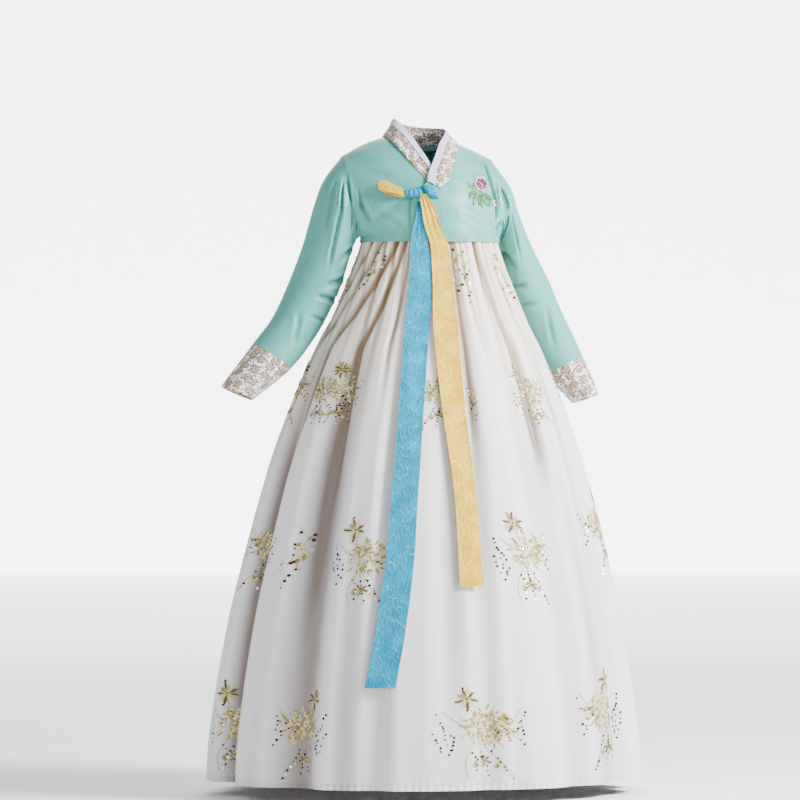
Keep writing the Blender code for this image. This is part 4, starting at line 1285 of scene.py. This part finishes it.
# Where each motif stands in front, how large it is, and which one it is: a spray or, past them, a sprinkle.
MOTIFS = table(
    "angle height wide high kind mirror turn",
    (-59.7, 1.130, 0.045, 0.10, 4, 1, -0.5),
    (14.0, 1.120, 0.030, 0.12, 5, 1, 0.0),
    (54.9, 1.115, 0.035, 0.12, 4, 1, 0.3),
    (-53.3, 0.870, 0.110, 0.150, 0, 1, -0.1),
    (-6.0, 0.865, 0.070, 0.150, 1, -1, 0.0),
    (40.1, 0.862, 0.110, 0.150, 2, 1, 0.15),
    (8.5, 0.845, 0.020, 0.070, 5, 1, 0.0),
    (-58.0, 0.515, 0.050, 0.130, 4, 1, -0.3),
    (-31.2, 0.510, 0.130, 0.205, 2, 1, 0.0),
    (21.2, 0.522, 0.150, 0.215, 0, 1, 0.0),
    (66.0, 0.575, 0.110, 0.190, 2, -1, 0.1),
    (-79.0, 0.530, 0.110, 0.190, 0, -1, -0.1),
    (-47.7, 0.150, 0.165, 0.205, 1, -1, 0.0),
    (4.0, 0.152, 0.215, 0.215, 3, 1, 0.0),
    (46.5, 0.175, 0.170, 0.230, 0, -1, 0.05),
    (-82.0, 0.150, 0.180, 0.215, 2, 1, 0.0),
)
# Rings of motifs round the rest of the skirt: the first one's angle, and the step to the next.
HIDDEN_ROWS = table(
    "height first step count wide high",
    (1.115, 85, 26, 8, 0.040, 0.11),
    (0.868, 74, 32, 8, 0.110, 0.150),
    (0.530, 98, 31, 6, 0.140, 0.205),
    (0.165, 88, 32.5, 6, 0.180, 0.215),
)


SPRAYS = ((11, 0.15), (23, 0.15), (37, 0.15), (41, 0.215))
SPRAY_HIGH = 0.21
SPRINKLE_SEEDS, SPRINKLE_WIDE, SPRINKLE_HIGH = (5, 8), 0.04, 0.11
SKIRT_THREADS = (
    ("pale_thread", (0.44, 0.40, 0.17), (0.68, 0.64, 0.36)),
    ("gold_stitches", (0.20, 0.15, 0.035), (0.42, 0.33, 0.10)),
    ("brown_thread", (0.030, 0.025, 0.010), (0.090, 0.075, 0.030)),
)
SKIRT_SEQUINS = (
    ("dark_sequin", (0.024, 0.020, 0.016), 0.35),
    ("bronze_sequin", (0.20, 0.14, 0.045), 0.3),
    ("silver_sequin", (0.80, 0.80, 0.82), 0.25),
)
EMBROIDERY_LOW, EMBROIDERY_HIGH = SKIRT_HEM + 0.004, 1.185


def motif_rows():
    """The motifs in front as listed, then those on the hidden sides, a little uneven."""
    rows = list(zip(*MOTIFS.values()))
    random = np.random.default_rng(71)
    for height, first, step, count, wide, high in zip(*HIDDEN_ROWS.values()):
        for i in range(int(count)):
            kind = len(SPRAYS) + i % 2 if wide < 0.06 else i % 3
            rows.append((first + i * step + random.uniform(-3, 3), height + random.uniform(-0.012, 0.012),
                         wide, high, kind, (-1) ** i, random.uniform(-0.12, 0.12)))
    return rows


def embroider_skirt():
    kinds = [(*spray(seed, wide, SPRAY_HIGH), SPRAY_HIGH) for seed, wide in SPRAYS]
    kinds += [(*sprinkle(seed, SPRINKLE_WIDE, SPRINKLE_HIGH), SPRINKLE_HIGH) for seed in SPRINKLE_SEEDS]
    threads, glints = Stitches(), Stitches()
    for angle, height, _, high, kind, mirror, turn in motif_rows():
        stitches, dots, made_high = kinds[int(kind)]
        for made, into in ((stitches, threads), (dots, glints)):
            made.placed((angle, height), mirror, high / made_high, turn, into)
    looks = ((threads, "skirt_embroidery", [thread(*values) for values in SKIRT_THREADS], "gold_thread"),
             (glints, "skirt_sequins", [sequin(*values) for values in SKIRT_SEQUINS], "sequin"))
    for made, name, materials, slot in looks:
        angle, height, out = np.concatenate(made.verts).T
        height = np.clip(height, EMBROIDERY_LOW, EMBROIDERY_HIGH)
        add_piece(name, off_skirt(angle, height, out), made.faces, materials, marks=made.marks)


CHEST, CHEST_SIZE, CHEST_OUT = (0.1085, 1.3035), 1.30, 0.0010


MAGENTA, LILAC, LIGHT_GREEN, DARK_GREEN, OUTLINE = range(5)
CHEST_THREADS = (
    ("magenta_thread", (0.075, 0.001, 0.022), (0.200, 0.003, 0.060)),
    ("lilac_thread", (0.46, 0.33, 0.50), (0.70, 0.56, 0.73)),
    ("light_green_thread", (0.042, 0.230, 0.032), (0.105, 0.370, 0.072)),
    ("dark_green_thread", (0.004, 0.068, 0.024), (0.013, 0.135, 0.048)),
    ("outline_thread", (0.010, 0.022, 0.016), (0.025, 0.045, 0.034)),
)
BLOOM, BUD = (0.0045, 0.0130), (0.0262, -0.0172)
CHEST_LEAVES = table(
    "x y angle long wide mark",
    (-0.006, 0.008, 3.0, 0.017, 0.0065, LIGHT_GREEN),
    (-0.008, 0.004, 3.7, 0.019, 0.0070, LIGHT_GREEN),
    (-0.006, 0.000, 4.2, 0.021, 0.0072, LIGHT_GREEN),
    (-0.001, -0.002, 4.7, 0.021, 0.0070, DARK_GREEN),
    (0.003, -0.003, 5.2, 0.022, 0.0078, LIGHT_GREEN),
    (0.007, -0.001, 5.7, 0.020, 0.0070, DARK_GREEN),
    (-0.012, -0.006, 4.5, 0.017, 0.0060, LIGHT_GREEN),
    (0.011, -0.010, 5.4, 0.014, 0.0055, LIGHT_GREEN),
    (-0.014, 0.010, 2.5, 0.012, 0.0050, LIGHT_GREEN),
    (0.000, -0.012, 4.9, 0.014, 0.0055, LIGHT_GREEN),
    (-0.016, 0.001, 4.1, 0.015, 0.0050, DARK_GREEN),
    (0.018, -0.014, 4.6, 0.010, 0.0045, DARK_GREEN),
)
CHEST_STEMS = (
    [(0.002, 0.004), (0.000, -0.008), (-0.002, -0.020)],
    [(0.004, 0.002), (0.012, -0.010), (0.026, -0.017)],
    [(0.000, 0.004), (-0.010, -0.002), (-0.022, -0.002)],
)


def chest_bloom(made):
    for i in range(7):
        a = i * 2 * np.pi / 7 + 0.3
        long = 0.0150 if np.sin(a) > -0.3 else 0.0115
        made.petal(*BLOOM, a, long * 1.08, 0.0122, LILAC if i % 3 else OUTLINE, 0.0005, 0.55)
        made.petal(*BLOOM, a, long, 0.0104, LILAC, 0.0007, 0.55)
        made.petal(*BLOOM, a, long * 0.84, 0.0086, MAGENTA, 0.0010, 0.55)
    for i in range(5):
        a = i * 2 * np.pi / 5 + 0.9
        made.petal(*BLOOM, a, 0.0082, 0.0062, MAGENTA, 0.0015, 0.6, curl=0.0012)
        made.stem([ray(*BLOOM, a, 0.002), ray(*BLOOM, a + 0.25, 0.0075)], 0.0008,
                  LILAC if i % 2 else OUTLINE, out=0.0021)
    made.disc(*BLOOM, 0.0014, LILAC, out=0.0026, dome=0.0005)


def embroider_chest():
    """A magenta bloom with pale-edged petals, leaves in two greens outlined in dark, and a small bud."""
    made = Stitches()
    random = np.random.default_rng(4)
    chest_bloom(made)
    for x, y, a, long, wide, mark in zip(*CHEST_LEAVES.values()):
        curl = random.uniform(-0.003, 0.003)
        made.petal(x, y, a, long, wide, OUTLINE, 0.0005, 0.8, curl=curl)
        made.petal(*ray(x, y, a, 0.0006), a, long * 0.90, wide * 0.70, int(mark), 0.0008, 0.8, curl=curl)
        made.stem([(x, y), ray(x, y, a, 0.7 * long)], 0.0007,
                  DARK_GREEN if mark == LIGHT_GREEN else LIGHT_GREEN, out=0.0015)
    for path in CHEST_STEMS:
        made.stem(path, 0.0010, DARK_GREEN, out=0.0017)
    for i in range(5):
        made.petal(*BUD, i * 1.256 + 0.3, 0.0060, 0.0046, LILAC if i % 3 else MAGENTA, 0.0012, 0.6)
    x, y, out = np.concatenate(made.verts).T
    verts = on_front(CHEST[0] + CHEST_SIZE * x, CHEST[1] + CHEST_SIZE * y, out + CHEST_OUT)
    materials = [thread(*values) for values in CHEST_THREADS]
    add_piece("chest_embroidery", verts, made.faces, materials, marks=made.marks)


# The garment: each piece of cloth over its solid, and what it is cut from.

SKIRT_SHELL, BAND_SHELL, JACKET_SHELL, FACING_SHELL = 0.0009, 0.0012, 0.0010, 0.0005
CUFF_SHELL, TAIL_SHELL, LOOP_SHELL = 0.0012, 0.0009, 0.0010
HEM_ROWS = (SKIRT_HEM, 0.035, 0.038, 0.040, 0.042, 0.046)
ABOVE_HEM = 0.058
SEAM_TRIM = 0.00012
BAND_HEIGHT, BAND_Y, BAND_GAP = 0.04, -0.035, 0.0008
CUFF_GAP = 0.003
# Depths of fold and crease at which the painted shade is full, and the gain for the waist pleats.
PAINTED_SHADE_FOLD, PAINTED_SHADE_CREASE, PAINTED_SHADE_PLEAT = 0.034, 0.0085, 70
PAINTED_SHADE_FRONT_CREASE, PAINTED_SHADE_SLEEVE_CREASE = 0.0080, 0.0105


def dress_skirt():
    cloth = organza()

    # Painted shade on the skirt: darker by the depth of its folds, creases, ripples, seam grooves and
    # stitched hem, and more in the pleats near the waist.
    def tone(angle, height):
        folds, fine = skirt_inward(angle, height)
        pleats = pleat_depth(angle, height) * PAINTED_SHADE_PLEAT * smooth((height - 1.0) / 0.2)
        dark = folds / PAINTED_SHADE_FOLD * 0.75 + np.maximum(fine, 0) / PAINTED_SHADE_CREASE + pleats - 0.08
        return np.clip(dark, 0, 1) ** 1.15

    heights = (*HEM_ROWS, *np.linspace(ABOVE_HEM, SKIRT_TOP, 100))
    for number in range(WIDTHS):
        start = FIRST_SEAM + number * WIDTH_ANGLE
        name = f"chima_width_{number + 1}"
        angles = np.linspace(start, start + WIDTH_ANGLE, 181)
        piece = over_solid(name, skirt_fine, angles, heights, cloth, "skirt_cloth", SKIRT_SHELL,
                           trim=SEAM_TRIM, steps=(0.05, STEP), tone=tone)


def dress_waistband():
    def surface(angle, height):
        a = np.radians(angle)
        rise = (height - SKIRT_TOP) / BAND_HEIGHT
        half_width, half_depth = 0.1385 - 0.007 * rise, 0.1005 - 0.009 * rise
        return points(SKIRT_X + half_width * np.sin(a), BAND_Y - half_depth * np.cos(a), height)

    heights = np.linspace(SKIRT_TOP + BAND_GAP, SKIRT_TOP + BAND_HEIGHT, 6)
    piece = over_solid("chima_waistband", surface, np.arange(0, 360, 4), heights, white_strip(),
                       "skirt_cloth", BAND_SHELL, closed=True, steps=(0.05, STEP))


def refined(values, parts):
    """The values with even steps put between them."""
    steps = [np.linspace(a, b, parts, endpoint=False) for a, b in zip(values, values[1:])]
    return np.append(np.concatenate(steps), values[-1])


def dress_jacket():
    cloth = satin()
    body_rows = refined(BODY_ROWS, 6)
    for side, name, flat, area in ((-1, "jeogori_right", (0.24, 0.65), 0.093),
                                   (1, "jeogori_left", (0.23, 0.63), 0.084)):
        base = jacket_half(side)

        # Painted shade on the jacket fronts: darker in the creases, by their depth.
        def tone(u, row, side=side, base=base):
            return np.clip(front_crease(side, base(u, row)[..., 0], row) / PAINTED_SHADE_FRONT_CREASE, 0, 1)

        piece = over_solid(name, jacket_fine(side), np.linspace(0, 1, 106), body_rows, cloth,
                           "jacket_satin", JACKET_SHELL, out=side, tone=tone)
    gore_rows = np.linspace(0, GORE_TOP_ROW, 60)
    piece = over_solid("jeogori_gore_left", gore, np.linspace(0, 1, 24), gore_rows, cloth,
                       "jacket_satin", JACKET_SHELL)
    turns, stations = np.linspace(0, 360, 121)[:-1], np.linspace(0, CUFF_STATION, 130)
    for side, name in ((-1, "right"), (1, "left")):

        # Painted shade on the sleeves: darker in the creases, by their depth.
        def tone(turn, station, side=side):
            return np.clip(sleeve_crease(side, turn, station) / PAINTED_SHADE_SLEEVE_CREASE, 0, 1)

        piece = over_solid("sleeve_" + name, sleeve_fine(side), turns, stations, cloth, "jacket_satin",
                           JACKET_SHELL, out=side, closed=True, steps=(0.5, 1e-3), tone=tone)
    return cloth


def dress_neck(cloth):
    """A narrow facing inside the neck, from the jacket's edge up to the collar's seam."""
    low = []
    for i in range(5, 12):
        x, height, row = (COLLAR[column][i] for column in ("seam_x", "seam_h", "seam_row"))
        low.append(raised(x * 1.09, row or front_row(x, height), -0.0024))
    low = np.array(low)
    collar = collar_surface(COLLAR_GAP - 0.0008)

    def surface(u, station):
        u, station = np.broadcast_arrays(u, station)
        share = u[..., None]
        return spline(low, station - 5) * (1 - share) + collar(0.12, station) * share

    piece = cloth_shell("neck_facing", surface, np.linspace(0, 1, 6), np.linspace(5, 11, 121), cloth,
                        "jacket_satin", FACING_SHELL)


def dress_brocade():
    cloth = brocade()
    turns, stations = np.linspace(0, 360, 97)[:-1], np.linspace(CUFF_STATION + CUFF_GAP, CUFF_END, 26)
    for side, name, flat in ((-1, "right", (0.31, 0.114)), (1, "left", (0.30, 0.096))):
        piece = over_solid("cuff_" + name, sleeve(side), turns, stations, cloth, "brocade", CUFF_SHELL,
                           out=side, closed=True, steps=(0.5, 1e-3))
    stations = np.linspace(0, 16, 321)
    over = COLLAR_GAP + COLLAR_CLOTH
    piece = over_solid("collar", collar_surface(over), np.linspace(0, 1, 22), stations, cloth, "brocade",
                       COLLAR_CLOTH)
    over = COLLAR_GAP + COLLAR_CLOTH + TRIM_GAP + TRIM_CLOTH
    across = np.linspace(TRIM_START, TRIM_END, 12)
    piece = over_solid("dongjeong", collar_surface(over), across, stations, white_strip(),
                       "white_cotton", TRIM_CLOTH)


LOOP_DRAWN_UP, LOOP_CREASE, LOOP_BELLY = 0.0042, 0.0007, 0.0022
PAD_BACK, PAD_FACE, PAD_EDGE, PAD_CREASE = 0.0006, 0.0024, 0.0018, 0.0007


def loop_fine(u, v):
    """The loop with its front layer drawn up, so that the opening shows below it, and soft creases."""
    u, v = np.broadcast_arrays(u, v)
    along = np.sin(np.pi / 2 * (1 - np.abs(2 * u - 1)))
    front = smooth((u - 0.5) / 0.12)
    at = loop_surface(u, v)
    up = LOOP_DRAWN_UP * front * smooth((1 - along) / 0.35) * smooth(along / 0.25) * (1 - v)
    creases = LOOP_CREASE * np.sin(v * 9 + along * 5) * front
    belly = LOOP_BELLY * front * bump((along - 0.55) / 0.45) * (1 - v * v)
    at[..., 2] += up
    at[..., 1] -= creases + belly
    return at


def soft_pad(name, corners, thick, material, creases, node):
    """A gathered lump of ribbon on the chest with creases across it."""
    u, v = np.meshgrid(np.linspace(0, 1, 48), np.linspace(0, 1, 40), indexing="ij")
    x, height = patch(corners, u, v)
    crown = (1 - (2 * v - 1) ** 4) * (1 - 0.55 * (2 * u - 1) ** 4)
    line = u if creases == "across" else v + 0.25 * u
    folds = PAD_CREASE * np.sin(line * 26 + 0.8 * np.sin(v * 5)) * crown
    back = on_front(x, height, PAD_BACK + 0 * u)
    face = on_front(x, height, PAD_FACE + (thick - PAD_EDGE) * crown + folds)
    return add_shell(name, face, back, material, replaces=(node,))


def dress_ties():
    blue = ribbon("blue_satin", (0.0, 0.215, 0.375), (0.0, 0.315, 0.495), (0.045, 0.620, 0.800))
    yellow = ribbon("yellow_satin", (0.620, 0.355, 0.022), (0.840, 0.545, 0.050), (1.00, 0.80, 0.22))
    tails = (("goreum_blue_tail", BLUE_TAIL, blue, "blue_ribbon", 0.4, (0.060, 1.07)),
             ("goreum_yellow_tail", YELLOW_TAIL, yellow, "yellow_ribbon", 2.1, (0.052, 0.87)))
    for name, rows, material, slot, phase, flat in tails:
        low, high = rows["height"][0], rows["height"][-1]
        piece = over_solid(name, tail_fine(rows, phase), np.linspace(0, 1, 30), np.linspace(low, high, 300),
                           material, slot, TAIL_SHELL, steps=(1e-3, STEP))
    knot = soft_pad("goreum_bow_knot", KNOT_CORNERS, KNOT_THICK, blue, "along", "goreum_knot")
    wrap = soft_pad("goreum_bow_wrap", WRAP_CORNERS, WRAP_THICK, blue, "across", "goreum_wrap")
    loop = cloth_shell("goreum_bow_loop", loop_fine, np.linspace(0, 1, 97), np.linspace(0, 1, 24), yellow,
                       "yellow_ribbon", LOOP_SHELL, out=-1, replaces=("goreum_loop",))


FLOOR_SIZE, BACKDROP_SIZE = 34, 7
BACKDROP_PLACE, BACKDROP_TURN = (3.15, 13.6, 1.9), (np.pi / 2, 0, np.radians(-13))
SKY_COLOUR, SKY_STRENGTH = (0.97, 0.98, 1.0, 1), 0.66


def paper(name, glow, near, far):
    """Pale paper that glows with the distance from its middle."""
    sheet = Material(name, 0.9, Base_Color=(0.90, 0.90, 0.90, 1), Emission_Color=(1, 1, 1, 1))
    away = sheet.node("VectorMath", {0: sheet.place()}, operation="LENGTH").outputs["Value"]
    sheet.put(sheet.shader.inputs["Emission Strength"], sheet.span(away, near, far, glow))
    return sheet.item


def stage_sheet(name, material, size, place, turn=(0, 0, 0)):
    bpy.ops.mesh.primitive_plane_add(size=size, location=place, rotation=turn)
    sheet = bpy.context.object
    sheet.name = name
    sheet.data.materials.append(material)
    return sheet


def build_stage():
    """A pale floor that brightens with distance, a pale backdrop and an even sky."""
    floor = stage_sheet("floor", paper("floor_paper", 2.2, 1.2, 8.0), FLOOR_SIZE, (0, 0, -SHOULDER_HEIGHT))
    backdrop = stage_sheet("backdrop", paper("backdrop_paper", 4.0, -2.0, -1.0), BACKDROP_SIZE,
                           BACKDROP_PLACE, BACKDROP_TURN)
    world = bpy.data.worlds.new("studio")
    world.use_nodes = True
    sky = world.node_tree.nodes["Background"]
    sky.inputs[0].default_value, sky.inputs[1].default_value = SKY_COLOUR, SKY_STRENGTH
    bpy.context.scene.world = world


LIGHTS = table(
    "x y z size watts",
    (3.0, -2.1, 1.4, 1.3, 680),
    (-2.9, -1.6, 0.8, 2.4, 16),
    (0.6, 2.8, 1.8, 2.0, 110),
)


def build_lights_and_camera():
    from mathutils import Vector

    middle = Vector((0, 0, -0.5))
    for number, (x, y, z, size, watts) in enumerate(zip(*LIGHTS.values())):
        data = bpy.data.lights.new(f"softbox_{number}", "AREA")
        data.size, data.energy = size, watts
        light = bpy.data.objects.new(data.name, data)
        light.location = (x, y, z)
        light.rotation_euler = (middle - light.location).to_track_quat("-Z", "Y").to_euler()
        bpy.context.collection.objects.link(light)
    data = bpy.data.cameras.new("camera")
    camera = bpy.data.objects.new("camera", data)
    target = Vector((-0.0426, 0.0098, -0.572))
    azimuth, distance, frame_width = np.radians(-13), 11.0, 1.747
    data.sensor_width = 36
    data.lens = 36 * distance / frame_width
    data.clip_end = 60
    way = Vector((float(np.sin(azimuth)), float(-np.cos(azimuth)), 0))
    camera.location = target + way * distance
    camera.rotation_euler = (-way).to_track_quat("-Z", "Y").to_euler()
    bpy.context.collection.objects.link(camera)
    bpy.context.scene.camera = camera


dress_skirt()
dress_waistband()
dress_neck(dress_jacket())
dress_brocade()
dress_ties()
embroider_skirt()
embroider_chest()
build_stage()
build_lights_and_camera()
